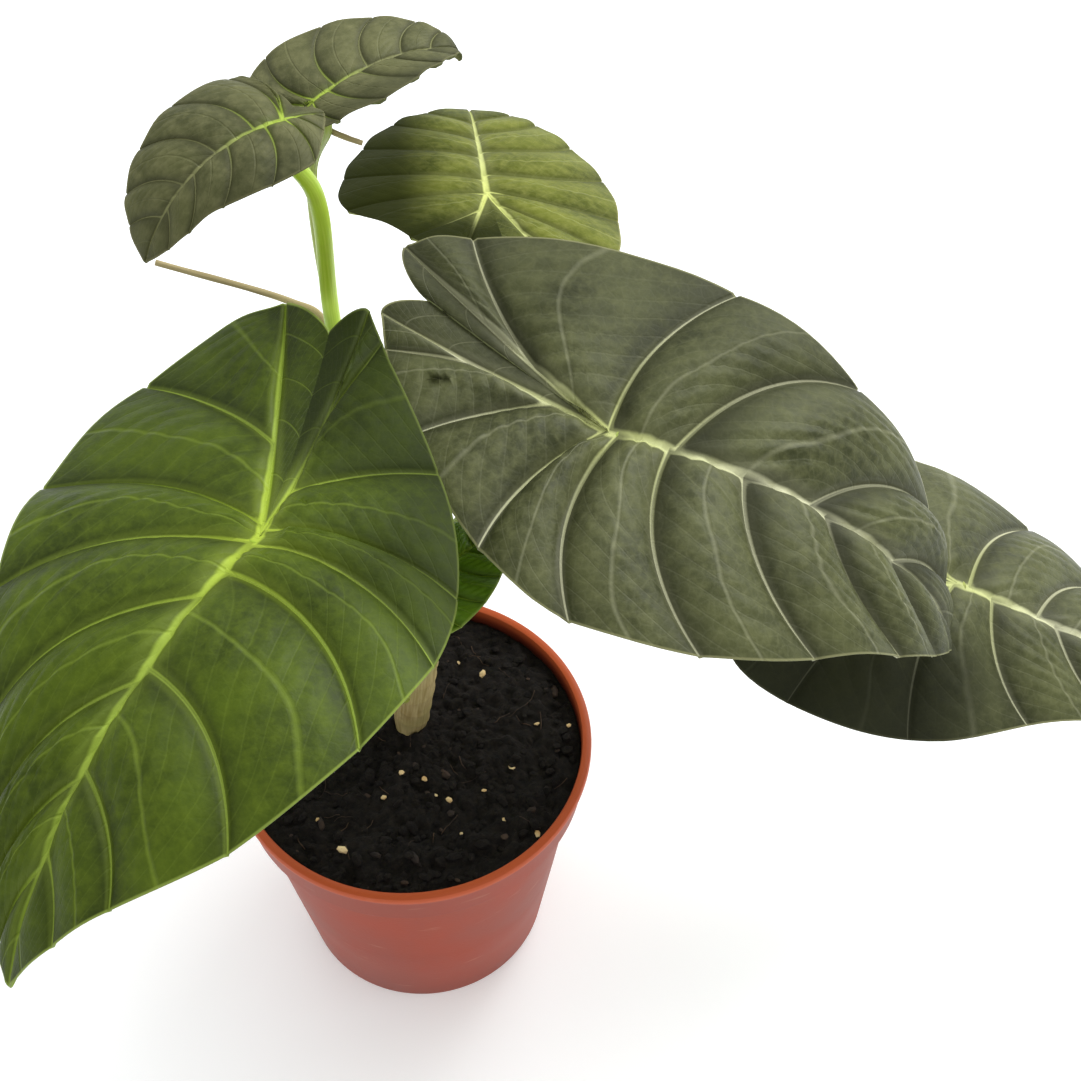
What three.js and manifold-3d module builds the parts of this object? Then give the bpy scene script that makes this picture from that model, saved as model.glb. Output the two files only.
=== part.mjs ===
// Potted alocasia: a plastic nursery pot, its soil, one short trunk, seven arrow-shaped leaves on long
// stalks, and two spent stalks. Millimetres, +Z up, origin at the middle of the pot's flat underside.
import * as THREE from "three";
import Module from "manifold-3d";

const wasm = await Module();
wasm.setup();

// ---------------------------------------------------------------- driving dimensions
const POT_HEIGHT = 102.4;
const POT_RIM_RADIUS = 60;
const POT_BASE_RADIUS = 43.5;
const POT_WALL = 1.5;
const POT_FLOOR = 2.2;
const BAND_HEIGHT = 17; // deep rim band that stands out from the tapered wall
const BAND_STEP = 2.6; // how far the band stands out
const WALL_TOP_RADIUS = 55; // outside of the tapered wall where it meets the band
const LIP_WIDTH = 3.2;
const LIP_ROUND = 0.8; // softened edge of the lip and of the band's foot
const BAND_FOOT_RADIUS = WALL_TOP_RADIUS + BAND_STEP;
const POT_SIDES = 56;
const DRAIN_HOLES = 6;
const DRAIN_RADIUS = 3.5;
const DRAIN_CIRCLE = 33;

const GAP = 0.3; // clearance between pieces that touch
const SOIL_LEVEL = 96.8;
const SOIL_CROWN = 1.2; // the soil stands this much higher at the middle
const SOIL_SHOULDER = 45; // radius where the soil starts to fall towards the wall

const TRUNK_FOOT = new THREE.Vector3(-2.5, 8.1, 84);
const TRUNK_TOP = new THREE.Vector3(5, 8.6, 147);
const TRUNK_RADIUS = 7.9;
const TRUNK_TOP_RADIUS = 7;
const POCKET_RADIUS = TRUNK_RADIUS + 1.4; // the hole in the soil that the trunk stands in

const LEAF_THICKNESS = 1.2;
const STALK_SIDES = 8;

// Stations of a blade's outline along its midrib, as shares of the length from stalk to tip:
// lobe tip, lobe shoulder, three across the body, three towards the tip, and the tip.
const STATIONS = [-0.56, -0.47, -0.245, 0.03, 0.32, 0.57, 0.765, 0.9, 1];
const RIB_ROOTS = [1, 0.72, 0.3, 0, 0.12, 0.33, 0.56, 0.78, 1];
const RIB_SWEEP = [0, 0.1, 0.16, 0.26, 0.3, 0.3, 0.28, 0.2, 0];
const FIRST_MIDRIB_STATION = 3;
const NOTCH_ROUNDING = 0.7;
const CUP_HALF_WIDTH = 0.43;

// Each blade: stalk point (mm), heading, pitch and roll (degrees), length from stalk to tip (mm), bends in
// degrees per blade length, fold and cup of each half (degrees), half widths at the stations on the right
// and left of the midrib, depth of each lobe tip, and the notch between the lobes.
const LEAVES = {
  leaf_front: {
    at: [-29, -32, 245], heading: -119, pitch: 12, roll: 6, size: 134,
    bend: 70, back: -42, side: -11, twist: -4, fold: [5, 1], cup: [4, 16],
    right: [0.36, 0.47, 0.58, 0.55, 0.45, 0.28, 0.17, 0.07],
    left: [-0.15, -0.04, 0.28, 0.44, 0.43, 0.33, 0.16, 0.06],
    lobes: [-0.62, -0.65], notch: [0.21, -0.57], fine: true,
  },
  leaf_right: {
    at: [62, 15, 234], heading: -21, pitch: 3, roll: 7, size: 148,
    bend: 81, back: -18, side: 18, twist: 0, fold: [-4, -5], cup: [14, 7],
    right: [-0.12, 0.02, 0.24, 0.4, 0.38, 0.25, 0.15, 0.06],
    left: [0.29, 0.35, 0.41, 0.41, 0.36, 0.28, 0.19, 0.08],
    lobes: [-0.52, -0.54], notch: [-0.18, -0.44], fine: true,
  },
  leaf_low_right: {
    at: [178, 29, 148], heading: -12, pitch: -20, roll: 4, size: 124,
    bend: 23, back: 15, side: 12, twist: 7, fold: [6, 7], cup: [21, 13],
    right: [0.23, 0.41, 0.47, 0.43, 0.27, 0.18, 0.12, 0.05],
    left: [0.13, 0.27, 0.38, 0.43, 0.37, 0.24, 0.14, 0.06],
    lobes: [-0.61, -0.56], notch: [0.05, -0.44], fine: true,
  },
  leaf_back: {
    at: [25, 144, 214.5], heading: 95, pitch: -17, roll: 10, size: 116.2,
    bend: 10, back: -3, side: -1, twist: 3, fold: [-5, -5], cup: [27, 37],
    right: [0.16, 0.29, 0.37, 0.41, 0.4, 0.32, 0.22, 0.12],
    left: [0.11, 0.15, 0.29, 0.43, 0.42, 0.35, 0.24, 0.11],
    lobes: [-0.54, -0.59], notch: [0.03, -0.44], fine: true,
  },
  leaf_top: {
    at: [-19, 77.5, 299], heading: 41, pitch: 18, roll: -6, size: 52.5,
    bend: 44, back: 48, side: -9, twist: -6, fold: [-5, -5], cup: [5, 4],
    right: [0.04, 0.12, 0.22, 0.28, 0.32, 0.23, 0.14, 0.06],
    left: [0.13, 0.29, 0.42, 0.49, 0.45, 0.36, 0.25, 0.13],
    lobes: [-0.24, -0.3], notch: [-0.05, -0.2], fine: false,
  },
  leaf_top_left: {
    at: [-23.5, 53.5, 310.5], heading: -145, pitch: 9, roll: -3, size: 56,
    bend: 74, back: 71, side: 12, twist: 4, fold: [-1, 3], cup: [17, 18],
    right: [0.22, 0.36, 0.45, 0.48, 0.46, 0.37, 0.27, 0.14],
    left: [-0.02, 0.05, 0.17, 0.31, 0.3, 0.21, 0.15, 0.08],
    lobes: [-0.1, -0.24], notch: [0.08, -0.1], fine: false,
  },
  leaf_young: {
    at: [9, -14, 200], heading: 50, pitch: 2, roll: 4, size: 40,
    bend: 25, back: 20, side: 0, twist: 0, fold: [0, 0], cup: [12, 12],
    right: [0.13, 0.26, 0.37, 0.42, 0.39, 0.3, 0.19, 0.09],
    left: [0.13, 0.26, 0.37, 0.42, 0.39, 0.3, 0.19, 0.09],
    lobes: [-0.4, -0.4], notch: [0, -0.3], fine: false,
  },
};

// Each stalk: the leaf it carries, its route from the trunk up (mm), and its radius at foot and top.
const LEAF_STALKS = {
  stalk_front: {
    leaf: "leaf_front",
    route: [[-4.8, 0.2, 133], [-9, -10, 165], [-19, -18, 208]],
    radii: [3, 2.3],
  },
  stalk_right: {
    leaf: "leaf_right",
    route: [[9.8, 10.6, 150.8], [14.5, 19.5, 180], [38, 21, 208]],
    radii: [3, 2.4],
  },
  stalk_low_right: {
    leaf: "leaf_low_right",
    route: [[8.8, 18.2, 136], [25, 26, 163], [95, 32, 163], [145, 31, 142]],
    radii: [3, 2.3],
  },
  stalk_back: {
    leaf: "leaf_back",
    route: [[2, 20, 133], [8, 48, 156], [19, 105, 178]],
    radii: [2.9, 2.2],
  },
  stalk_top: {
    leaf: "leaf_top",
    route: [[3.8, 13.4, 150], [-6, 46, 182], [-21.1, 79, 216], [-24.2, 91, 264]],
    radii: [1.9, 1.7],
  },
  stalk_top_left: {
    leaf: "leaf_top_left",
    route: [[0.8, 6.9, 150.5], [-8.6, 24, 188], [-18.2, 59, 235], [-18.4, 55.5, 286]],
    radii: [2.6, 2.4],
  },
  stalk_young: {
    leaf: "leaf_young",
    route: [[6.8, 3.4, 150.5], [10, -6, 168]],
    radii: [1.9, 1.5],
  },
};
const SPENT_STALKS = {
  spent_stalk: {
    route: [[-5.5, 13.6, 136], [-17, 40, 185], [-22.5, 67, 228], [-31, 67, 235], [-68, 64, 253]],
    radii: [1.6, 0.9],
  },
  spent_stub: {
    route: [[-16.2, 83, 285], [-12, 82, 283.5], [-7.3, 82, 281.4]],
    radii: [0.9, 0.8],
  },
};
const APPROACH = 7; // length of stalk that meets its blade square

// ---------------------------------------------------------------- shared shaping
const clamp = THREE.MathUtils.clamp;
const rad = THREE.MathUtils.degToRad;

function between(values, x) {
  const i = clamp(Math.floor(x), 0, values.length - 2);
  return values[i] + (values[i + 1] - values[i]) * (x - i);
}

// A smooth curve through the values at whole numbers (Catmull-Rom with mirrored ends).
function smooth(values, x) {
  const i = clamp(Math.floor(x), 0, values.length - 2);
  const t = x - i;
  const b = values[i];
  const c = values[i + 1];
  const a = i > 0 ? values[i - 1] : 2 * b - c;
  const d = i < values.length - 2 ? values[i + 2] : 2 * c - b;
  return 0.5 * (2 * b + (c - a) * t + (2 * a - 5 * b + 4 * c - d) * t * t + (3 * b - a - 3 * c + d) * t ** 3);
}

// Flat half blade, as (across, along) in blade lengths. u runs round the margin from the lobe tip to the
// leaf tip, v along a rib from the costa or midrib to the margin.
function halfOutline(widths, lobeDepth) {
  const depth = lobeDepth / STATIONS[0];
  const along = [...STATIONS];
  along[0] = lobeDepth;
  along[1] *= depth;
  along[2] *= Math.min(1, 1.1 * depth);
  return { across: [...widths, 0], along };
}

function costaPoint(r, half) {
  return [r * half.across[0], r * half.along[0]];
}

function ribRoot(u, half) {
  const root = between(RIB_ROOTS, u);
  return u < FIRST_MIDRIB_STATION ? costaPoint(root, half) : [0, root];
}

function halfPoint(u, v, half) {
  const [sx, sy] = ribRoot(u, half);
  const mx = smooth(half.across, u);
  const my = smooth(half.along, u);
  const sweep = between(RIB_SWEEP, u);
  const qx = (sx + mx) / 2 + (my - sy) * sweep;
  const qy = (sy + my) / 2 - (mx - sx) * sweep;
  const mix = (s, q, m) => s * (1 - v) ** 2 + 2 * q * v * (1 - v) + m * v * v;
  return [mix(sx, qx, mx), mix(sy, qy, my)];
}

// The web between a costa (w = 1) and the line from stalk to notch (w = 0).
function webPoint(r, w, half, notchAcross, notchAlong) {
  const across = notchAcross + (half.across[0] - notchAcross) * w;
  const rise = Math.sin((Math.PI / 2) * w) ** NOTCH_ROUNDING;
  const along = notchAlong + (half.along[0] - notchAlong) * rise;
  return [r * across, r * along];
}

// The bent midrib: a table of places and directions, stepped along the blade.
function bentMidrib(leaf) {
  const step = 0.005;
  const from = -180;
  const to = 210;
  const rows = [];
  const place = new THREE.Vector3();
  for (let i = from; i <= to; i += 1) {
    const b = i * step;
    const pitch = rad(b > 0 ? -leaf.bend * b : -leaf.back * b);
    const yaw = rad(leaf.side * Math.max(b, 0));
    const along = new THREE.Vector3(-Math.sin(yaw), Math.cos(yaw), 0)
      .multiplyScalar(Math.cos(pitch))
      .setZ(Math.sin(pitch));
    const across = new THREE.Vector3(Math.cos(yaw), Math.sin(yaw), 0);
    place.addScaledVector(along, step);
    rows.push({ place: place.clone(), across, up: across.clone().cross(along) });
  }
  const origin = rows[-from].place.clone();
  rows.forEach((row) => row.place.sub(origin));
  return (b) => {
    const x = clamp(b / step - from, 0, rows.length - 1.001);
    const i = Math.floor(x);
    const mix = (key) => rows[i][key].clone().lerp(rows[i + 1][key], x - i);
    return { place: mix("place"), across: mix("across"), up: mix("up") };
  };
}

// Maps a flat (across, along) point of a blade to its place on the plant, in mm.
function bladeMap(leaf) {
  const midrib = bentMidrib(leaf);
  const turn = new THREE.Matrix4()
    .makeRotationZ(rad(leaf.heading - 90))
    .multiply(new THREE.Matrix4().makeRotationX(rad(leaf.pitch)))
    .multiply(new THREE.Matrix4().makeRotationY(rad(leaf.roll)));
  const stalkPoint = new THREE.Vector3(...leaf.at);
  return ([a, b]) => {
    const side = a > 0 ? 0 : 1;
    const fold = rad(leaf.fold[side]);
    const cup = rad(leaf.cup[side]) / CUP_HALF_WIDTH;
    const reach = (Math.sin(fold + cup * Math.abs(a)) - Math.sin(fold)) / cup;
    const drop = (Math.cos(fold + cup * Math.abs(a)) - Math.cos(fold)) / cup;
    const twist = rad(leaf.twist * b);
    const rib = midrib(b);
    const cos = Math.cos(twist);
    const sin = Math.sin(twist);
    const across = rib.across.clone().multiplyScalar(cos).addScaledVector(rib.up, sin);
    const up = rib.up.clone().multiplyScalar(cos).addScaledVector(rib.across, -sin);
    return rib.place
      .addScaledVector(across, Math.sign(a) * reach)
      .addScaledVector(up, drop)
      .multiplyScalar(leaf.size)
      .applyMatrix4(turn)
      .add(stalkPoint);
  };
}

// ---------------------------------------------------------------- meshes from faces
const MERGE = 1e4;

// Collects points and triangles, joining points that are the same and leaving out empty triangles.
class Skin {
  constructor() {
    this.points = [];
    this.index = new Map();
    this.faces = [];
  }
  add(p) {
    const key = [p.x, p.y, p.z].map((c) => Math.round(c * MERGE)).join();
    if (!this.index.has(key)) {
      this.index.set(key, this.points.length);
      this.points.push(p);
    }
    return this.index.get(key);
  }
  face(a, b, c) {
    if (a !== b && b !== c && c !== a) this.faces.push([a, b, c]);
  }
  quad(a, b, c, d) {
    this.face(a, b, c);
    this.face(a, c, d);
  }
  grid(rows, flip) {
    const ids = rows.map((row) => row.map((p) => this.add(p)));
    for (let i = 0; i + 1 < ids.length; i += 1)
      for (let j = 0; j + 1 < ids[i].length; j += 1) {
        const corners = [ids[i][j], ids[i][j + 1], ids[i + 1][j + 1], ids[i + 1][j]];
        this.quad(...(flip ? corners.reverse() : corners));
      }
  }
  normals() {
    const sums = this.points.map(() => new THREE.Vector3());
    for (const [a, b, c] of this.faces) {
      const [p, q, r] = [a, b, c].map((k) => this.points[k]);
      const n = q.clone().sub(p).cross(r.clone().sub(p));
      [a, b, c].forEach((k) => sums[k].add(n));
    }
    return sums.map((n) => n.normalize());
  }
  geometry() {
    const g = new THREE.BufferGeometry();
    const places = this.points.flatMap((p) => p.toArray());
    g.setAttribute("position", new THREE.Float32BufferAttribute(places, 3));
    g.setIndex(this.faces.flat());
    g.computeVertexNormals();
    return g;
  }
}

// Gives an open skin a thickness below it, with a wall round the margin.
function thicken(skin, thickness) {
  const normals = skin.normals();
  const count = skin.points.length;
  const top = [...skin.faces];
  const edges = new Map();
  for (const [a, b, c] of top)
    for (const [p, q] of [[a, b], [b, c], [c, a]]) {
      if (edges.has(q + "," + p)) edges.delete(q + "," + p);
      else edges.set(p + "," + q, [p, q]);
    }
  for (let i = 0; i < count; i += 1)
    skin.points.push(skin.points[i].clone().addScaledVector(normals[i], -thickness));
  for (const [a, b, c] of top) skin.face(a + count, c + count, b + count);
  for (const [p, q] of edges.values()) skin.quad(q, p, p + count, q + count);
  return skin.geometry();
}

const steps = (from, to, count) =>
  Array.from({ length: count + 1 }, (_, i) => from + ((to - from) * i) / count);

function leafGeometry(leaf) {
  const map = bladeMap(leaf);
  const skin = new Skin();
  const perStation = leaf.fine ? 2 : 1;
  const across = leaf.fine ? 4 : 3;
  const marginSteps = steps(0, STATIONS.length - 1, (STATIONS.length - 1) * perStation);
  const webRows = marginSteps.filter((u) => u <= FIRST_MIDRIB_STATION).map((u) => between(RIB_ROOTS, u));
  for (const side of [0, 1]) {
    const half = halfOutline(side ? leaf.left : leaf.right, leaf.lobes[side]);
    const mirror = side ? -1 : 1;
    const put = ([a, b]) => map([a * mirror, b]);
    const blade = marginSteps.map((u) => steps(0, 1, across).map((v) => put(halfPoint(u, v, half))));
    const web = webRows.map((r) =>
      steps(0, 1, 2).map((w) => put(webPoint(r, w, half, leaf.notch[0] * mirror, leaf.notch[1]))));
    skin.grid(blade, side === 1);
    skin.grid(web, side === 1);
  }
  return thicken(skin, LEAF_THICKNESS);
}

// A round stem swept along a smooth route, tapering evenly, with both ends closed.
function stemGeometry(route, radii, rings, sides) {
  const curve = new THREE.CatmullRomCurve3(route, false, "centripetal");
  const frames = curve.computeFrenetFrames(rings, false);
  const skin = new Skin();
  const rows = [];
  for (let i = 0; i <= rings; i += 1) {
    const centre = curve.getPointAt(i / rings);
    const radius = between(radii, (i / rings) * (radii.length - 1));
    const ring = steps(0, 2 * Math.PI, sides).slice(0, sides).map((t) =>
      centre.clone()
        .addScaledVector(frames.normals[i], radius * Math.cos(t))
        .addScaledVector(frames.binormals[i], radius * Math.sin(t)));
    rows.push([...ring, ring[0]]);
  }
  const start = curve.getPointAt(0);
  const end = curve.getPointAt(1);
  skin.grid([rows[0].map(() => start), ...rows, rows[0].map(() => end)], false);
  return skin.geometry();
}

// ---------------------------------------------------------------- pieces
const toSolid = (geometry) => {
  const skin = new Skin();
  const g = geometry.index ? geometry.toNonIndexed() : geometry;
  const position = g.getAttribute("position");
  for (let i = 0; i < position.count; i += 3) {
    const ids = [0, 1, 2].map((k) => skin.add(new THREE.Vector3().fromBufferAttribute(position, i + k)));
    skin.face(...ids);
  }
  return new wasm.Manifold(new wasm.Mesh({
    numProp: 3,
    vertProperties: new Float32Array(skin.points.flatMap((p) => p.toArray())),
    triVerts: new Uint32Array(skin.faces.flat()),
  }));
};

const fromSolid = (solid) => {
  const made = solid.getMesh();
  const g = new THREE.BufferGeometry();
  g.setAttribute("position", new THREE.BufferAttribute(made.vertProperties, 3));
  g.setIndex(new THREE.BufferAttribute(made.triVerts, 1));
  g.computeVertexNormals();
  return g;
};

function turned(profile) {
  const g = new THREE.LatheGeometry(profile.map(([r, z]) => new THREE.Vector2(r, z)), POT_SIDES);
  return g.rotateX(Math.PI / 2);
}

// Inside radius of the pot's tapered wall at a height.
const wallInside = (z) =>
  POT_BASE_RADIUS - POT_WALL + ((WALL_TOP_RADIUS - POT_BASE_RADIUS) * z) / (POT_HEIGHT - BAND_HEIGHT);

function potGeometry() {
  const bandFoot = POT_HEIGHT - BAND_HEIGHT;
  const profile = [
    [0, 0],
    [POT_BASE_RADIUS - LIP_ROUND, 0],
    [POT_BASE_RADIUS, LIP_ROUND],
    [WALL_TOP_RADIUS, bandFoot],
    [BAND_FOOT_RADIUS - LIP_ROUND / 2, bandFoot + LIP_ROUND / 4],
    [BAND_FOOT_RADIUS, bandFoot + LIP_ROUND],
    [POT_RIM_RADIUS - LIP_WIDTH / 2, POT_HEIGHT - LIP_WIDTH - LIP_ROUND],
    [POT_RIM_RADIUS, POT_HEIGHT - LIP_WIDTH],
    [POT_RIM_RADIUS, POT_HEIGHT - LIP_ROUND],
    [POT_RIM_RADIUS - LIP_ROUND, POT_HEIGHT],
    [POT_RIM_RADIUS - LIP_WIDTH + LIP_ROUND, POT_HEIGHT],
    [POT_RIM_RADIUS - LIP_WIDTH, POT_HEIGHT - LIP_ROUND],
    [BAND_FOOT_RADIUS - POT_WALL, bandFoot + BAND_STEP],
    [wallInside(bandFoot), bandFoot + LIP_ROUND],
    [wallInside(POT_FLOOR), POT_FLOOR],
    [0, POT_FLOOR],
  ];
  const hole = (i) => {
    const angle = ((i + 0.5) / DRAIN_HOLES) * 2 * Math.PI;
    return toSolid(new THREE.CylinderGeometry(DRAIN_RADIUS, DRAIN_RADIUS, 4 * POT_FLOOR, 12)
      .rotateX(Math.PI / 2)
      .translate(DRAIN_CIRCLE * Math.cos(angle), DRAIN_CIRCLE * Math.sin(angle), 0));
  };
  const holes = Array.from({ length: DRAIN_HOLES }, (_, i) => hole(i));
  return fromSolid(toSolid(turned(profile)).subtract(wasm.Manifold.union(holes)));
}

function soilGeometry() {
  const bandFoot = POT_HEIGHT - BAND_HEIGHT;
  const profile = [
    [0, POT_FLOOR + GAP],
    [wallInside(POT_FLOOR) - GAP, POT_FLOOR + GAP],
    [wallInside(bandFoot) - GAP, bandFoot + LIP_ROUND + GAP],
    [BAND_FOOT_RADIUS - POT_WALL - GAP, bandFoot + BAND_STEP + GAP],
    [BAND_FOOT_RADIUS - POT_WALL, SOIL_LEVEL - SOIL_CROWN],
    [SOIL_SHOULDER, SOIL_LEVEL],
    [SOIL_SHOULDER / 2, SOIL_LEVEL + SOIL_CROWN],
    [0, SOIL_LEVEL + SOIL_CROWN],
  ];
  const pocket = stemGeometry(
    [TRUNK_FOOT.clone().lerp(TRUNK_TOP, -0.02), TRUNK_FOOT.clone().lerp(TRUNK_TOP, 0.5)],
    [POCKET_RADIUS, POCKET_RADIUS - 0.4], 2, 20);
  return fromSolid(toSolid(turned(profile)).subtract(toSolid(pocket)));
}

const group = new THREE.Group();
group.name = "potted_alocasia";

const COLOURS = {
  terracotta: [0xa4583f, 0.5],
  soil: [0x231d19, 0.95],
  bark: [0x84724a, 0.8],
  matureLeaf: [0x6b7150, 0.45],
  youngLeaf: [0x5a6c24, 0.4],
  greenStalk: [0x9aae3c, 0.45],
  spentStalk: [0x9a8a66, 0.8],
};

function addPiece(name, geometry, look) {
  const [color, roughness] = COLOURS[look];
  const mesh = new THREE.Mesh(geometry, new THREE.MeshStandardMaterial({ color, roughness, metalness: 0 }));
  mesh.name = name;
  group.add(mesh);
}

addPiece("pot", potGeometry(), "terracotta");
addPiece("soil", soilGeometry(), "soil");
addPiece("trunk", stemGeometry([TRUNK_FOOT, TRUNK_FOOT.clone().lerp(TRUNK_TOP, 0.5), TRUNK_TOP],
  [TRUNK_RADIUS, TRUNK_RADIUS, TRUNK_TOP_RADIUS], 6, 16), "bark");

for (const [name, leaf] of Object.entries(LEAVES))
  addPiece(name, leafGeometry(leaf), name === "leaf_front" ? "youngLeaf" : "matureLeaf");

const vectors = (route) => route.map((p) => new THREE.Vector3(...p));

// A stalk stops just under its blade, square to it.
for (const [name, { leaf, route, radii }] of Object.entries(LEAF_STALKS)) {
  const blade = LEAVES[leaf];
  const map = bladeMap(blade);
  const at = map([0, 0]);
  const along = map([0, 0.02]).sub(at);
  const up = map([0.02, 0]).sub(map([-0.02, 0])).cross(along).normalize();
  const below = (depth) => at.clone().addScaledVector(up, -depth);
  const end = LEAF_THICKNESS + 0.4 * radii[1];
  const whole = [...vectors(route), below(end + APPROACH), below(end)];
  addPiece(name, stemGeometry(whole, radii, blade.fine ? 10 : 8, STALK_SIDES), "greenStalk");
}

for (const [name, { route, radii }] of Object.entries(SPENT_STALKS))
  addPiece(name, stemGeometry(vectors(route), radii, 8, 6), "spentStalk");

export default group;
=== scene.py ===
"""Potted alocasia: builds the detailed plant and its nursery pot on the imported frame."""
import math
import random

import bpy
import numpy as np
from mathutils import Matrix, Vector, noise


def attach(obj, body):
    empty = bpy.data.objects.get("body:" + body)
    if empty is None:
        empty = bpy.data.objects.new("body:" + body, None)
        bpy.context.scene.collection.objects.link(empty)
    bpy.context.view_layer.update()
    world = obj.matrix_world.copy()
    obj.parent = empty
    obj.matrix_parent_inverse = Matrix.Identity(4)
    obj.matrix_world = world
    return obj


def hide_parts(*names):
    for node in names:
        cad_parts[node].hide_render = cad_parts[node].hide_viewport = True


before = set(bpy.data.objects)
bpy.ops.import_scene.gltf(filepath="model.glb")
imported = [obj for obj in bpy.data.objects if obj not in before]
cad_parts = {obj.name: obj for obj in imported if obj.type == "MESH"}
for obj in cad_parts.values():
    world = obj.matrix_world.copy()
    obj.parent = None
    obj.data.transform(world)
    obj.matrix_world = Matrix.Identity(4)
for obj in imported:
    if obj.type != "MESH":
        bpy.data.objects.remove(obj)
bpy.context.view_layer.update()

bl_info = {
    "name": "Potted Alocasia",
    "version": (1, 0, 0),
    "blender": (4, 5, 0),
    "location": "View3D > Sidebar > Alocasia",
    "description": "Grows a potted alocasia: pot, peat, trunk, arrow-shaped leaves and stalks",
    "category": "Add Mesh",
}

MM = 0.001
ROOT = "root"

# ---------------------------------------------------------------- sizes, in millimetres
POT_FLOOR = 2.2
POT_WALL = 1.5
POT_SIDES = 144
BAND_HEIGHT = 17.0
BAND_STEP = 2.6
WALL_TOP_RADIUS = 55.0
LIP_WIDTH = 3.2
DRAIN_HOLES = 6
DRAIN_RADIUS = 3.5
DRAIN_CIRCLE = 33.0
MID_WALL = 40.0

SOIL_LEVEL = 96.8
SOIL_CROWN = 1.2
SOIL_HEAP = 2.2  # the peat is heaped a little against the trunk
SOIL_RINGS = 62
FIBRE_COUNT = 44
FIBRE_STEP = 1.3

TRUNK_FOOT = Vector((-2.5, 8.1, 84.0))
TRUNK_TOP = Vector((5.0, 8.6, 147.0))
TRUNK_RADIUS = 7.1
TRUNK_LENGTH = 64.5
TRUNK_SCARS = (14.0, 21.5, 28.5, 36.0, 43.0, 50.0)  # heights of the leaf scars above the foot
TRUNK_PLACE = (-1.0, 8.2)  # where the trunk comes out of the peat

# Stations of a blade's outline along its midrib, as shares of the length from stalk to tip.
STATIONS = np.array([-0.56, -0.47, -0.245, 0.03, 0.32, 0.57, 0.765, 0.9, 1.0])
RIB_SWEEP = np.array([0.0, 0.08, 0.14, 0.22, 0.26, 0.26, 0.22, 0.16, 0.0])
LAST_STATION = 8.0
NOTCH_ROUNDING = 0.7
CUP_HALF_WIDTH = 0.43

# Side veins of one half as (root, end): the root is a share of the midrib, or minus a share of the lobe
# rib, and the end counts the stations round the margin.
USUAL_VEINS = [(-0.6, 0.6), (-0.24, 1.6), (-0.02, 2.8), (0.1, 3.8), (0.3, 4.8), (0.5, 5.8), (0.7, 6.7)]
OTHER_VEINS = [(-0.5, 0.7), (-0.16, 1.8), (0.01, 3.0), (0.15, 4.1), (0.36, 5.1), (0.57, 6.1), (0.75, 6.9)]
PANEL_ROWS = 11
LEAST_ROW = 0.0025  # least gap between two rows, so that no sliver spoils the shading
BLADE_COLUMNS = 40
WEB_COLUMNS = 14
BRANCHES = 7.0  # side branches along each panel
BRANCH_SLANT = 0.45
BRANCH_WANDER = 0.12
PILLOW_SHARE = 0.28  # height of the small pillows between side branches, as a share of the quilting
MARGIN_RIPPLE = 0.4
SURFACE_DRIFT = 0.9
CALM_RADIUS = 8.0  # the blade is flat and its veins shallow this near the stalk
PANEL_SPAN = 16  # the flat coordinate of a leaf counts this many panels as 1
FAR_OFF = 30  # distances to veins and to the margin are only told apart up to here
STEM_SPAN = 100  # the flat coordinates of a stem count this many millimetres as 1

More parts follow.
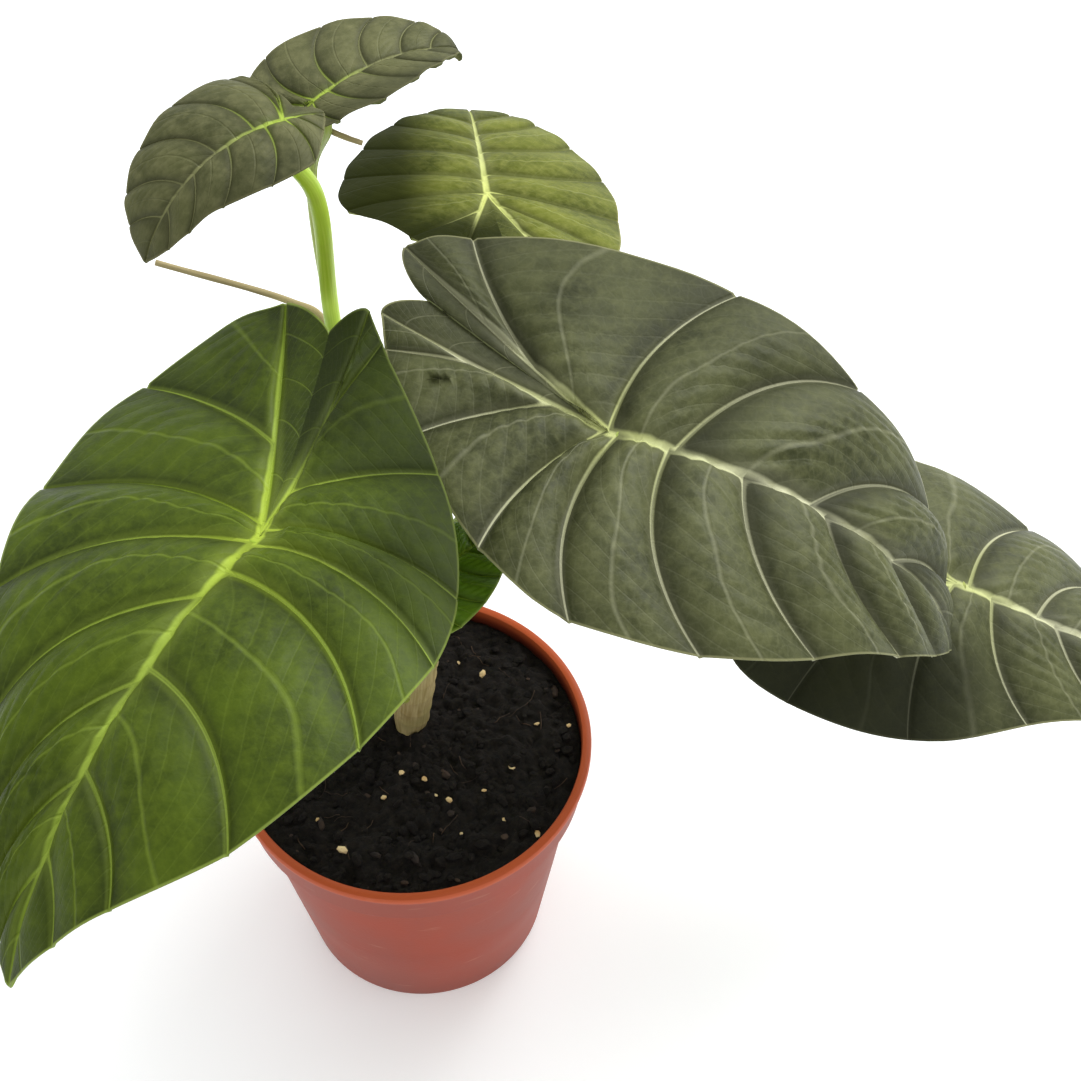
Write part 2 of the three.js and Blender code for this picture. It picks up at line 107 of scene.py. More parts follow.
# Each blade: the side veins of its right and left half and how stout they are, its stalk point, heading,
# pitch and roll (degrees), length from stalk to tip, bends in degrees per blade length, fold and cup of
# each half, half widths at the stations right and left of the midrib, depth of each lobe tip, and the
# notch between the lobes. "curl" bends the last of the tip further down.
# Painted shade of each blade: how much painted shade darkens the outer flesh of each half, how far along
# the blade that reaches, and how dark the painted shade in the hollow beside each vein is. "puff" scales
# the raised panels between the veins.
LEAVES = {
    "leaf_front": dict(
        veins=([(-0.42, 1.7), (-0.06, 2.9), (0.02, 4.0), (0.18, 5.0), (0.38, 6.0), (0.58, 6.7),
                (0.75, 7.3)],
               [(-0.5, 0.8), (-0.22, 1.75), (-0.03, 2.6), (0.03, 3.2), (0.11, 3.95), (0.35, 5.0),
                (0.56, 5.9), (0.72, 6.7)]),
        stout=1.0,
        at=(-29, -32, 245), heading=-119, pitch=12, roll=6, size=134,
        bend=70, back=-42, side=-11, twist=-4, fold=(5, 1), cup=(4, 16),
        right=(0.36, 0.47, 0.58, 0.55, 0.45, 0.28, 0.17, 0.07),
        left=(-0.15, -0.04, 0.28, 0.44, 0.43, 0.33, 0.16, 0.06),
        lobes=(-0.62, -0.65), notch=(0.21, -0.57), curl=0, painted_shade=(0.1, 0.7, 0.2, 0.4), puff=1.0),
    "leaf_right": dict(
        veins=([(-0.6, 0.6), (-0.24, 1.5), (-0.01, 2.4), (0.02, 3.1), (0.12, 3.85), (0.27, 4.6),
                (0.45, 5.5), (0.62, 6.3), (0.78, 7.1)],
               [(-0.34, 1.2), (0.0, 3.4), (0.13, 4.6), (0.41, 6.0), (0.64, 7.0)]),
        stout=1.0,
        at=(62, 15, 234), heading=-21, pitch=3, roll=7, size=148,
        bend=81, back=-18, side=18, twist=0, fold=(-4, -5), cup=(14, 7),
        right=(-0.12, 0.02, 0.24, 0.4, 0.38, 0.25, 0.15, 0.06),
        left=(0.29, 0.35, 0.41, 0.41, 0.36, 0.28, 0.19, 0.08),
        lobes=(-0.52, -0.54), notch=(-0.18, -0.44), curl=20, painted_shade=(0.0, 0.3, 0.6, 0.75), puff=1.25),
    "leaf_low_right": dict(
        veins=(USUAL_VEINS,
               [(-0.5, 0.7), (-0.16, 1.8), (0.03, 3.9), (0.24, 4.9), (0.46, 5.8), (0.68, 6.8)]),
        stout=1.05,
        at=(178, 29, 148), heading=-12, pitch=-20, roll=4, size=124,
        bend=23, back=15, side=12, twist=7, fold=(6, 7), cup=(21, 13),
        right=(0.23, 0.41, 0.47, 0.43, 0.27, 0.18, 0.12, 0.05),
        left=(0.13, 0.27, 0.38, 0.43, 0.37, 0.24, 0.14, 0.06),
        lobes=(-0.61, -0.56), notch=(0.05, -0.44), curl=20, painted_shade=(0.9, 0.1, 0.3, 0.45), puff=1.1),
    "leaf_back": dict(
        veins=(OTHER_VEINS, USUAL_VEINS),
        stout=0.9,
        at=(25, 144, 214.5), heading=95, pitch=-17, roll=10, size=116.2,
        bend=10, back=-3, side=-1, twist=3, fold=(-5, -5), cup=(27, 37),
        right=(0.16, 0.29, 0.37, 0.41, 0.4, 0.32, 0.22, 0.12),
        left=(0.11, 0.15, 0.29, 0.43, 0.42, 0.35, 0.24, 0.11),
        lobes=(-0.54, -0.59), notch=(0.03, -0.44), curl=30, painted_shade=(0.0, 1.0, 2.0, 0.3), puff=0.5),
    "leaf_top": dict(
        veins=(USUAL_VEINS, OTHER_VEINS),
        stout=0.8,
        at=(-19, 77.5, 299), heading=41, pitch=18, roll=-6, size=52.5,
        bend=44, back=48, side=-9, twist=-6, fold=(-5, -5), cup=(5, 4),
        right=(0.04, 0.12, 0.22, 0.28, 0.32, 0.23, 0.14, 0.06),
        left=(0.13, 0.29, 0.42, 0.49, 0.45, 0.36, 0.25, 0.13),
        lobes=(-0.24, -0.3), notch=(-0.05, -0.2), curl=480, painted_shade=(0.5, 0.0, 2.0, 0.3), puff=0.5),
    "leaf_top_left": dict(
        veins=(OTHER_VEINS, USUAL_VEINS),
        stout=0.8,
        at=(-23.5, 53.5, 310.5), heading=-145, pitch=9, roll=-3, size=56,
        bend=74, back=71, side=12, twist=4, fold=(-1, 3), cup=(17, 18),
        right=(0.22, 0.36, 0.45, 0.48, 0.46, 0.37, 0.27, 0.14),
        left=(-0.02, 0.05, 0.17, 0.31, 0.3, 0.21, 0.15, 0.08),
        lobes=(-0.1, -0.24), notch=(0.08, -0.1), curl=40, painted_shade=(0.0, 0.3, 2.0, 0.3), puff=0.6),
    "leaf_young": dict(
        veins=(USUAL_VEINS, OTHER_VEINS),
        stout=1.0,
        at=(9, -14, 200), heading=50, pitch=2, roll=4, size=40,
        bend=25, back=20, side=0, twist=0, fold=(0, 0), cup=(12, 12),
        right=(0.13, 0.26, 0.37, 0.42, 0.39, 0.3, 0.19, 0.09),
        left=(0.13, 0.26, 0.37, 0.42, 0.39, 0.3, 0.19, 0.09),
        lobes=(-0.4, -0.4), notch=(0, -0.3), curl=20, painted_shade=(0.0, 0.0, 1.0, 0.3), puff=1.0),
}

# Each stalk: the leaf it carries, its route from the trunk up, and its radius at foot and top.
LEAF_STALKS = {
    "stalk_front": dict(
        leaf="leaf_front", route=[(-4.8, 0.2, 133), (-9, -10, 165), (-19, -18, 208)], radii=(3, 2.3)),
    "stalk_right": dict(
        leaf="leaf_right", route=[(9.8, 10.6, 150.8), (14.5, 19.5, 180), (38, 21, 208)], radii=(3, 2.4)),
    "stalk_low_right": dict(
        leaf="leaf_low_right",
        route=[(8.8, 18.2, 136), (25, 26, 163), (95, 32, 163), (145, 31, 142)], radii=(3, 2.3)),
    "stalk_back": dict(
        leaf="leaf_back", route=[(2, 20, 133), (8, 48, 156), (19, 105, 178)], radii=(2.9, 2.2)),
    "stalk_top": dict(
        leaf="leaf_top",
        route=[(3.8, 13.4, 150), (-6, 46, 182), (-21.1, 79, 216), (-24.2, 91, 264)], radii=(1.9, 1.7)),
    "stalk_top_left": dict(
        leaf="leaf_top_left",
        route=[(0.8, 6.9, 150.5), (-8.6, 24, 188), (-18.2, 59, 235), (-18.4, 55.5, 286)],
        radii=(2.6, 2.4)),
    "stalk_young": dict(
        leaf="leaf_young", route=[(6.8, 3.4, 150.5), (10, -6, 168)], radii=(1.9, 1.5)),
}
SPENT_STALKS = {
    "spent_stalk": dict(
        route=[(-5.5, 13.6, 136), (-17, 40, 185), (-22.5, 67, 228), (-31, 67, 235), (-68, 64, 253)],
        radii=(1.6, 0.9)),
    "spent_stub": dict(
        route=[(-16.2, 83, 285), (-12, 82, 283.5), (-7.3, 82, 281.4)], radii=(0.9, 0.8)),
}
APPROACH = 7.0
CAD_BLADE = 1.2


# ---------------------------------------------------------------- small helpers
def linear(code):
    """An sRGB hex colour as linear red, green, blue and alpha."""
    parts = [int(code[i:i + 2], 16) / 255 for i in (1, 3, 5)]
    return (*[p / 12.92 if p <= 0.04045 else ((p + 0.055) / 1.055) ** 2.4 for p in parts], 1.0)


def put(tree, kind, sockets=None, **settings):
    """Adds one node, sets its settings, and fills or links its inputs."""
    made = tree.nodes.new(kind)
    for key, value in settings.items():
        setattr(made, key, value)
    for key, value in (sockets or {}).items():
        if isinstance(value, bpy.types.NodeSocket):
            tree.links.new(value, made.inputs[key])
        else:
            made.inputs[key].default_value = value
    return made


def new_material(name):
    """An empty node material with its output node."""
    material = bpy.data.materials.new(name)
    material.use_nodes = True
    material.node_tree.nodes.clear()
    return material, material.node_tree


def finish_material(tree, shader):
    """Links the shader to the surface output."""
    put(tree, "ShaderNodeOutputMaterial", {"Surface": shader.outputs[0]})


def mix_colours(tree, share, low, high):
    """A colour between two, by a share from 0 to 1."""
    made = put(tree, "ShaderNodeMix", data_type="RGBA", clamp_factor=True)
    for socket, value in ((made.inputs[0], share), (made.inputs[6], low), (made.inputs[7], high)):
        if isinstance(value, bpy.types.NodeSocket):
            tree.links.new(value, socket)
        else:
            socket.default_value = value
    return made.outputs[2]


def deselect():
    """Leaves nothing selected and nothing active, so that an operator only meets the new piece."""
    bpy.ops.object.select_all(action="DESELECT")
    bpy.context.view_layer.objects.active = None


def own(piece, material, slot, *nodes):
    """Gives a finished piece its material, its body and the frame nodes it stands for; slot is not used.
    """
    piece.data.materials.clear()
    piece.data.materials.append(material)
    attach(piece, ROOT)
    if nodes:
        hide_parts(*nodes)


def new_piece(name, points, faces, corners=None):
    """A mesh object from points in millimetres; corners holds a flat coordinate for each face corner."""
    mesh = bpy.data.meshes.new(name)
    mesh.from_pydata([tuple(c * MM for c in p) for p in points], [], faces)
    if corners is not None:
        layer = mesh.uv_layers.new(name="growth")
        layer.data.foreach_set("uv", np.asarray(corners, np.float32).ravel())
    mesh.polygons.foreach_set("use_smooth", [True] * len(mesh.polygons))
    mesh.update()
    piece = bpy.data.objects.new(name, mesh)
    bpy.context.scene.collection.objects.link(piece)
    return piece


# ---------------------------------------------------------------- how a blade is shaped
def blade_scale(leaf):
    """How coarse a blade's relief is, beside that of a blade 140 mm long."""
    return max(leaf["size"] / 140, 0.5)


def smooth_step(values, low, high):
    """Rises smoothly from 0 at low to 1 at high; high may be the smaller one."""
    t = np.clip((np.asarray(values, float) - low) / (high - low), 0, 1)
    return t * t * (3 - 2 * t)


def smooth(values, x):
    """A smooth curve through the values at whole numbers."""
    values = np.asarray(values, float)
    x = np.asarray(x, float)
    i = np.clip(np.floor(x).astype(int), 0, len(values) - 2)
    t = x - i
    wide = np.concatenate(([2 * values[0] - values[1]], values, [2 * values[-1] - values[-2]]))
    a, b, c, d = (wide[i + k] for k in range(4))
    return 0.5 * (2 * b + (c - a) * t + (2 * a - 5 * b + 4 * c - d) * t**2
                  + (3 * b - a - 3 * c + d) * t**3)


def half_outline(widths, lobe_depth):
    depth = lobe_depth / STATIONS[0]
    along = STATIONS.copy()
    along[0] = lobe_depth
    along[1] *= depth
    along[2] *= min(1, 1.1 * depth)
    return np.array([*widths, 0.0]), along


def costa_point(r, half):
    return r * half[0][0], r * half[1][0]


def half_point(root, u, v, half):
    """A flat point of a half blade: from its root on a rib, v of the way out to margin station u."""
    root, u, v = np.broadcast_arrays(*(np.asarray(k, float) for k in (root, u, v)))
    cx, cy = costa_point(np.clip(-root, 0, 1), half)
    sx = np.where(root < 0, cx, 0.0)
    sy = np.where(root < 0, cy, root)
    mx = smooth(half[0], u)
    my = smooth(half[1], u)
    sweep = smooth(RIB_SWEEP, u)
    qx = (sx + mx) / 2 + (my - sy) * sweep
    qy = (sy + my) / 2 - (mx - sx) * sweep
    return (sx * (1 - v)**2 + 2 * qx * v * (1 - v) + mx * v**2,
            sy * (1 - v)**2 + 2 * qy * v * (1 - v) + my * v**2)


def web_point(r, w, half, notch):
    """A flat point of the web between a lobe rib and the line from stalk to notch."""
    across = notch[0] + (half[0][0] - notch[0]) * w
    along = notch[1] + (half[1][0] - notch[1]) * np.sin(np.pi / 2 * w)**NOTCH_ROUNDING
    return r * across, r * along


def blade_map(leaf):
    """The function that bends flat blade points and sets them on the plant, in millimetres."""
    step = 0.005
    b = np.arange(-180, 211) * step
    pitch = np.radians(np.where(b > 0, -leaf["bend"] * b, -leaf["back"] * b))
    pitch -= np.radians(leaf["curl"]) * np.maximum(b - 0.86, 0)
    yaw = np.radians(leaf["side"] * np.maximum(b, 0))
    along = np.stack([-np.sin(yaw) * np.cos(pitch), np.cos(yaw) * np.cos(pitch), np.sin(pitch)], 1)
    across = np.stack([np.cos(yaw), np.sin(yaw), np.zeros_like(yaw)], 1)
    up = np.cross(across, along)
    place = np.cumsum(along * step, 0)
    place -= place[180]
    cos, sin = math.cos, math.sin
    h, p, r = (math.radians(a) for a in (leaf["heading"] - 90, leaf["pitch"], leaf["roll"]))
    turn = (np.array([[cos(h), -sin(h), 0], [sin(h), cos(h), 0], [0, 0, 1]])
            @ np.array([[1, 0, 0], [0, cos(p), -sin(p)], [0, sin(p), cos(p)]])
            @ np.array([[cos(r), 0, sin(r)], [0, 1, 0], [-sin(r), 0, cos(r)]]))

    def bent(a, at):
        a, at = np.broadcast_arrays(np.asarray(a, float), np.asarray(at, float))
        a, at = a.ravel(), at.ravel()
        side = np.where(a > 0, 0, 1)
        fold = np.radians(np.array(leaf["fold"], float))[side]
        cup = np.radians(np.array(leaf["cup"], float))[side] / CUP_HALF_WIDTH
        reach = (np.sin(fold + cup * abs(a)) - np.sin(fold)) / cup
        drop = (np.cos(fold + cup * abs(a)) - np.cos(fold)) / cup
        twist = np.radians(leaf["twist"] * at)[:, None]
        rows = [np.stack([np.interp(at, b, table[:, k]) for k in range(3)], 1)
                for table in (place, across, up)]
        wide = rows[1] * np.cos(twist) + rows[2] * np.sin(twist)
        high = rows[2] * np.cos(twist) - rows[1] * np.sin(twist)
        bent_at = rows[0] + wide * (np.sign(a) * reach)[:, None] + high * drop[:, None]
        return bent_at * leaf["size"] @ turn.T + np.array(leaf["at"], float)

    return bent


# ---------------------------------------------------------------- veins on the flat blade
def line_ratio(x, y, line, widths):
    """Distance of each flat point to a vein, in units of the vein's own half width there."""
    best = np.full(x.shape, 1e6)
    for k in range(len(line) - 1):
        (ax, ay), (bx, by) = line[k], line[k + 1]
        dx, dy = bx - ax, by - ay
        length = dx * dx + dy * dy
        if length < 1e-12:
            continue
        t = np.clip(((x - ax) * dx + (y - ay) * dy) / length, 0, 1)
        d = np.hypot(x - ax - t * dx, y - ay - t * dy)
        best = np.minimum(best, d / (widths[k] + (widths[k + 1] - widths[k]) * t))
    return best


def vein_knots(leaf, side):
    """Roots and ends of one half's side veins, from the lobe tip to the leaf tip."""
    roots, ends = zip(*leaf["veins"][side])
    return [-1.0, *roots, 1.0], [0.0, *ends, LAST_STATION]


def vein_lines(leaf, half, side):
    """The midrib, the lobe rib and the side veins of one half, each with its half widths in mm."""
    stout = leaf["stout"] * blade_scale(leaf)
    s = np.linspace(0, 1, 25)
    lines = [(np.stack([0 * s, s], 1), stout * (1.7 - 1.3 * s))]
    r = np.linspace(0, 1, 17)
    lines.append((np.stack(costa_point(r, half), 1), stout * (1.25 - 0.95 * r)))
    for root, end in leaf["veins"][side]:
        start = 0.62 + 0.2 * math.exp(-abs(end - 4.0) / 1.5)
        v = np.linspace(0, 1, 17)
        lines.append((np.stack(half_point(root, end, v, half), 1),
                      stout * (start - (start - 0.22) * v**0.9)))
    return lines


def panel_rows(veins):
    """Roots of the mesh rows of one half, crowded beside each of its veins."""
    stops = [-1.0, *[root for root, _ in veins], 1.0]
    share = 0.5 - 0.5 * np.cos(np.pi * np.arange(PANEL_ROWS) / PANEL_ROWS)
    rows = [low + (high - low) * share for low, high in zip(stops, stops[1:])]
    return np.concatenate([*rows, [0.0, 1.0]])


def grow_blade(name, leaf, looks):
    """One whole blade: raised panels between sunken veins above, and proud veins below."""
    bend = blade_map(leaf)
    size = leaf["size"]
    rows = np.concatenate([panel_rows(veins) for veins in leaf["veins"]])
    roots = np.unique(np.round(rows / LEAST_ROW) * LEAST_ROW).round(6)
    steps = np.arange(BLADE_COLUMNS + 1) / BLADE_COLUMNS
    v = 0.5 * steps + 0.5 * (0.5 - 0.5 * np.cos(np.pi * steps))
    r = -roots[roots <= 0]
    w = 0.5 - 0.5 * np.cos(np.pi * np.arange(WEB_COLUMNS + 1) / WEB_COLUMNS)
    points, ratio, rim, lift, uvs = [], [], [], [], []
    total = 0
    grids = []
    for side, mirror in ((0, 1.0), (1, -1.0)):
        half = half_outline(leaf["right"] if side == 0 else leaf["left"], leaf["lobes"][side])
        notch = (leaf["notch"][0] * mirror, leaf["notch"][1])
        veins = vein_lines(leaf, half, side)
        knots, ends = vein_knots(leaf, side)
        stations = np.interp(roots, knots, ends)
        panels = np.interp(roots, knots, np.arange(len(knots)))
        patches = [
            (*half_point(roots[:, None], stations[:, None], v[None, :], half),
             panels[:, None], v[None, :], False),
            (*web_point(r[:, None], w[None, :], half, notch), -1 - 5 * r[:, None], w[None, :], True),
        ]
        for x, y, p, q, is_web in patches:
            p, q = (np.broadcast_to(k, x.shape) for k in (p, q))
            near = np.full(x.shape, 1e6)
            for line, widths in veins:
                near = np.minimum(near, line_ratio(x * size, y * size, line * size, widths))
            if is_web:
                margin = np.broadcast_to((1 - r)[:, None] * size * 0.5, x.shape)
                breadth = np.hypot(x[:, -1:] - x[:, :1], y[:, -1:] - y[:, :1])
                swell = 0.5 * np.sin(np.pi * q) * np.clip(breadth / 0.2, 0, 1)**1.5
                ripple = np.zeros_like(x)
            else:
                reach = np.hypot(x[:, -1:] - x[:, :1], y[:, -1:] - y[:, :1]) * size
                margin = (1 - q) * reach
                share = p - np.floor(p)
                wide = np.clip(reach / (0.3 * size), 0, 1)
                swell = np.sin(np.pi * share)**0.85 * (1 - np.exp(-q / 0.13))
                swell = swell * (1 - 0.55 * q**4) * np.maximum(wide, 0.15)
                ripple = np.sin(2 * np.pi * share) * q**3 * wide
            # Painted shade: the outer flesh of each half and the hollow on the tip side of each vein are
            # darkened as if in shade.
            reach_in = 1 - smooth_step(y, leaf["painted_shade"][2] - 0.3, leaf["painted_shade"][2])
            outer = np.maximum(smooth_step(abs(x), 0.05, 0.27), smooth_step(-y, 0.1, 0.34))
            shade = leaf["painted_shade"][side] * outer * reach_in
            if not is_web:
                beside = smooth_step(share, 0.42, 0.04) * np.exp(-(q / 0.6)**2) * wide
                shade = np.maximum(shade, leaf["painted_shade"][3] * beside)
            branching = 0 * x if is_web else wide**2 + 0 * x
            points.append(bend(x * mirror, y))
            ratio.append(near.ravel())
            rim.append(margin.ravel())
            lift.append(np.stack([k.ravel() for k in (swell, ripple, p % 1, q, shade, branching)], 1))
            grids.append((np.arange(x.size).reshape(x.shape) + total, side == 1))
            uvs.append(np.stack([p.ravel() / PANEL_SPAN, q.ravel()], 1))
            total += x.size
    points = np.concatenate(points)
    ratio, rim, lift, uvs = (np.concatenate(k) for k in (ratio, rim, lift, uvs))
    _, first, same = np.unique(np.round(points, 3), axis=0, return_index=True, return_inverse=True)
    same = same.ravel()
    base, count = points[first], len(first)
    near = np.full(count, 1e6)
    np.minimum.at(near, same, ratio)
    margin = np.full(count, 1e6)
    np.minimum.at(margin, same, rim)
    swell, ripple, across, out, shade, branching = lift[first].T
    # Painted shade on a strongly curled tip, which turns down away from the light.
    tip = smooth_step(np.linalg.norm(base - bend([0], [1.0])[0], axis=1) / size, 0.16, 0.05)
    painted_shade = np.maximum(shade, tip * (0.9 if leaf["curl"] > 100 else 0.0))

    faces, corners = [], []
    for grid, flip in grids:
        quads = np.stack([grid[:-1, :-1], grid[:-1, 1:], grid[1:, 1:], grid[1:, :-1]], -1).reshape(-1, 4)
        if flip:
            quads = quads[:, ::-1]
        for quad in quads.tolist():
            ring = []
            for corner in quad:
                k = int(same[corner])
                if not ring or (ring[-1][0] != k and ring[0][0] != k):
                    ring.append((k, corner))
            if len({k for k, _ in ring}) >= 3:
                faces.append([k for k, _ in ring])
                corners.append([uvs[c] for _, c in ring])

    triangles = np.array([(f[0], f[i], f[i + 1]) for f in faces for i in range(1, len(f) - 1)])
    a, b, c = (base[triangles[:, k]] for k in range(3))
    flat = np.cross(b - a, c - a)
    normals = np.zeros_like(base)
    for k in range(3):
        np.add.at(normals, triangles[:, k], flat)
    normals /= np.maximum(np.linalg.norm(normals, axis=1), 1e-9)[:, None]

    stout = blade_scale(leaf)
    quilt = looks.quilting / MM * stout * leaf["puff"]
    heart = np.linalg.norm(base - np.array(leaf["at"]), axis=1)
    calm = np.clip(heart / (CALM_RADIUS * stout), 0, 1)**2
    groove = looks.vein_relief / MM * stout * np.exp(-0.5 * near**2) * (0.3 + 0.7 * calm)
    drift = np.array([noise.noise(Vector(tuple(p * 0.03)) + Vector((size, 0, 0))) for p in base])
    wander = np.array([noise.noise(Vector(tuple(p * 0.035)) + Vector((3, size, 0))) for p in base])
    branches = BRANCHES * (out - BRANCH_SLANT * across + BRANCH_WANDER * wander)
    pillows = abs(np.sin(np.pi * branches))**0.8 * np.sin(np.pi * across) * (1 - out**4) * branching
    height = quilt * (swell + PILLOW_SHARE * pillows)
    height = height + stout * (MARGIN_RIPPLE * ripple + SURFACE_DRIFT * drift)
    height = height * calm - groove
    taper = np.clip(margin / (4 * stout), 0, 1)
    thickness = looks.blade_thickness / MM * (0.35 + 0.65 * taper)
    ridge = 1.5 * groove * np.clip(taper + 0.2, 0, 1) * calm
    top = base + normals * height[:, None]
    under = top - normals * (thickness + ridge)[:, None]

    open_edges = {}
    for f in faces:
        for p, q in zip(f, f[1:] + f[:1]):
            if (q, p) in open_edges:
                del open_edges[(q, p)]
            else:
                open_edges[(p, q)] = True
    every = list(faces)
    flat_corners = list(corners)
    for f, c in zip(faces, corners):
        every.append([k + count for k in reversed(f)])
        flat_corners.append(list(reversed(c)))
    for p, q in open_edges:
        every.append([q, p, p + count, q + count])
        flat_corners.append([(0.5, 1.0)] * 4)
    piece = new_piece(name, np.concatenate([top, under]), every,
                      [pair for ring in flat_corners for pair in ring])
    both = {"vein": np.minimum(near, FAR_OFF), "rim": np.minimum(margin, FAR_OFF), "wander": wander,
            "heart": heart / stout, "puff": swell, "painted_shade": painted_shade}
    both = {key: np.tile(values, 2) for key, values in both.items()}
    for key, values in {**both, "under": np.repeat([0.0, 1.0], count)}.items():
        layer = piece.data.attributes.new(key, "FLOAT", "POINT")
        layer.data.foreach_set("value", values.astype(np.float32))
    return piece


# ---------------------------------------------------------------- stems
def centripetal(points, count):
    """Evenly spaced places on a centripetal curve through the points."""
    pts = [np.array(p, float) for p in points]
    pts = [2 * pts[0] - pts[1], *pts, 2 * pts[-1] - pts[-2]]
    dense = []
    for p0, p1, p2, p3 in zip(pts, pts[1:], pts[2:], pts[3:]):
        t0 = 0.0
        t1 = t0 + max(np.linalg.norm(p1 - p0), 1e-6)**0.5
        t2 = t1 + max(np.linalg.norm(p2 - p1), 1e-6)**0.5
        t3 = t2 + max(np.linalg.norm(p3 - p2), 1e-6)**0.5
        for t in np.linspace(t1, t2, 40, endpoint=False):
            a1 = (t1 - t) / (t1 - t0) * p0 + (t - t0) / (t1 - t0) * p1
            a2 = (t2 - t) / (t2 - t1) * p1 + (t - t1) / (t2 - t1) * p2
            a3 = (t3 - t) / (t3 - t2) * p2 + (t - t2) / (t3 - t2) * p3
            b1 = (t2 - t) / (t2 - t0) * a1 + (t - t0) / (t2 - t0) * a2
            b2 = (t3 - t) / (t3 - t1) * a2 + (t - t1) / (t3 - t1) * a3
            dense.append((t2 - t) / (t2 - t1) * b1 + (t - t1) / (t2 - t1) * b2)
    dense.append(pts[-2])
    dense = np.array(dense)
    run = np.concatenate(([0], np.cumsum(np.linalg.norm(np.diff(dense, axis=0), axis=1))))
    even = np.linspace(0, run[-1], count)
    return np.stack([np.interp(even, run, dense[:, k]) for k in range(3)], 1), run[-1]


def sweep_stem(name, route, radius_at, sides, step, ridges=0.0):
    """A round stem along a route; radius_at gives its radius from the share of its length and angle."""
    _, length = centripetal(route, 2)
    count = max(int(length / step), 6) + 1
    centres, length = centripetal(route, count)
    tangents = np.gradient(centres, axis=0)
    tangents /= np.linalg.norm(tangents, axis=1)[:, None]
    side = np.cross(tangents[0], (0, 1, 0))
    side /= np.linalg.norm(side)
    points, corners, faces = [], [], []
    for i, (centre, tangent) in enumerate(zip(centres, tangents)):
        side = side - tangent * side.dot(tangent)
        side /= np.linalg.norm(side)
        other = np.cross(tangent, side)
        s = i / (count - 1)
        for k in range(sides):
            angle = 2 * math.pi * k / sides
            radius = radius_at(s, angle) * (1 + ridges * math.cos(angle * 9))
            points.append(centre + (side * math.cos(angle) + other * math.sin(angle)) * radius)
    around = 2 * math.pi * radius_at(0.5, 0) / STEM_SPAN

    def corner(i, k):
        return (around * k / sides, i * length / (count - 1) / STEM_SPAN)

    for i in range(count - 1):
        for k in range(sides):
            n = (k + 1) % sides
            faces.append([i * sides + k, i * sides + n, (i + 1) * sides + n, (i + 1) * sides + k])
            corners += [corner(i, k), corner(i, k + 1), corner(i + 1, k + 1), corner(i + 1, k)]
    for end, row in ((0, 0), (1, count - 1)):
        points.append(centres[row])
        hub = len(points) - 1
        for k in range(sides):
            pair = [row * sides + k, row * sides + (k + 1) % sides]
            faces.append([hub, *(pair if end else pair[::-1])])
            corners += [corner(row, k)] * 3
    return new_piece(name, points, faces, corners)


def trunk_axis(z):
    """The middle of the trunk at a height."""
    return TRUNK_FOOT.lerp(TRUNK_TOP, (z - TRUNK_FOOT.z) / (TRUNK_TOP.z - TRUNK_FOOT.z))


def grow_stalk(name, plan, looks):
    """A leaf stalk with its clasping foot on the trunk and a slight swelling under the blade."""
    leaf = LEAVES[plan["leaf"]]
    bend = blade_map(leaf)
    at, ahead, right, left = bend([0, 0, 0.02, -0.02], [0, 0.02, 0, 0])
    up = np.cross(right - left, ahead - at)
    up /= np.linalg.norm(up)
    foot = Vector(plan["route"][0])
    clasp = trunk_axis(foot.z - 13)
    outward = (foot - trunk_axis(foot.z)).normalized()
    start = clasp + outward * 3.0
    inner = CAD_BLADE + 0.4 * plan["radii"][1]
    approach = inner + APPROACH
    route = [tuple(start), *plan["route"], tuple(at - up * approach), tuple(at - up * 0.5)]
    _, whole = centripetal(route, 2)
    low, high = plan["radii"]

    def radius_at(s, angle):
        base = low + (high - low) * s
        swell = 1.3 * math.exp(-s * whole / 11)
        neck = 0.35 * math.exp(-(1 - s) * whole / 5)
        return base + swell * (0.8 + 0.2 * math.cos(angle)) + neck

    return sweep_stem(name, route, radius_at, 20, 2.2, looks.stalk_ridges)


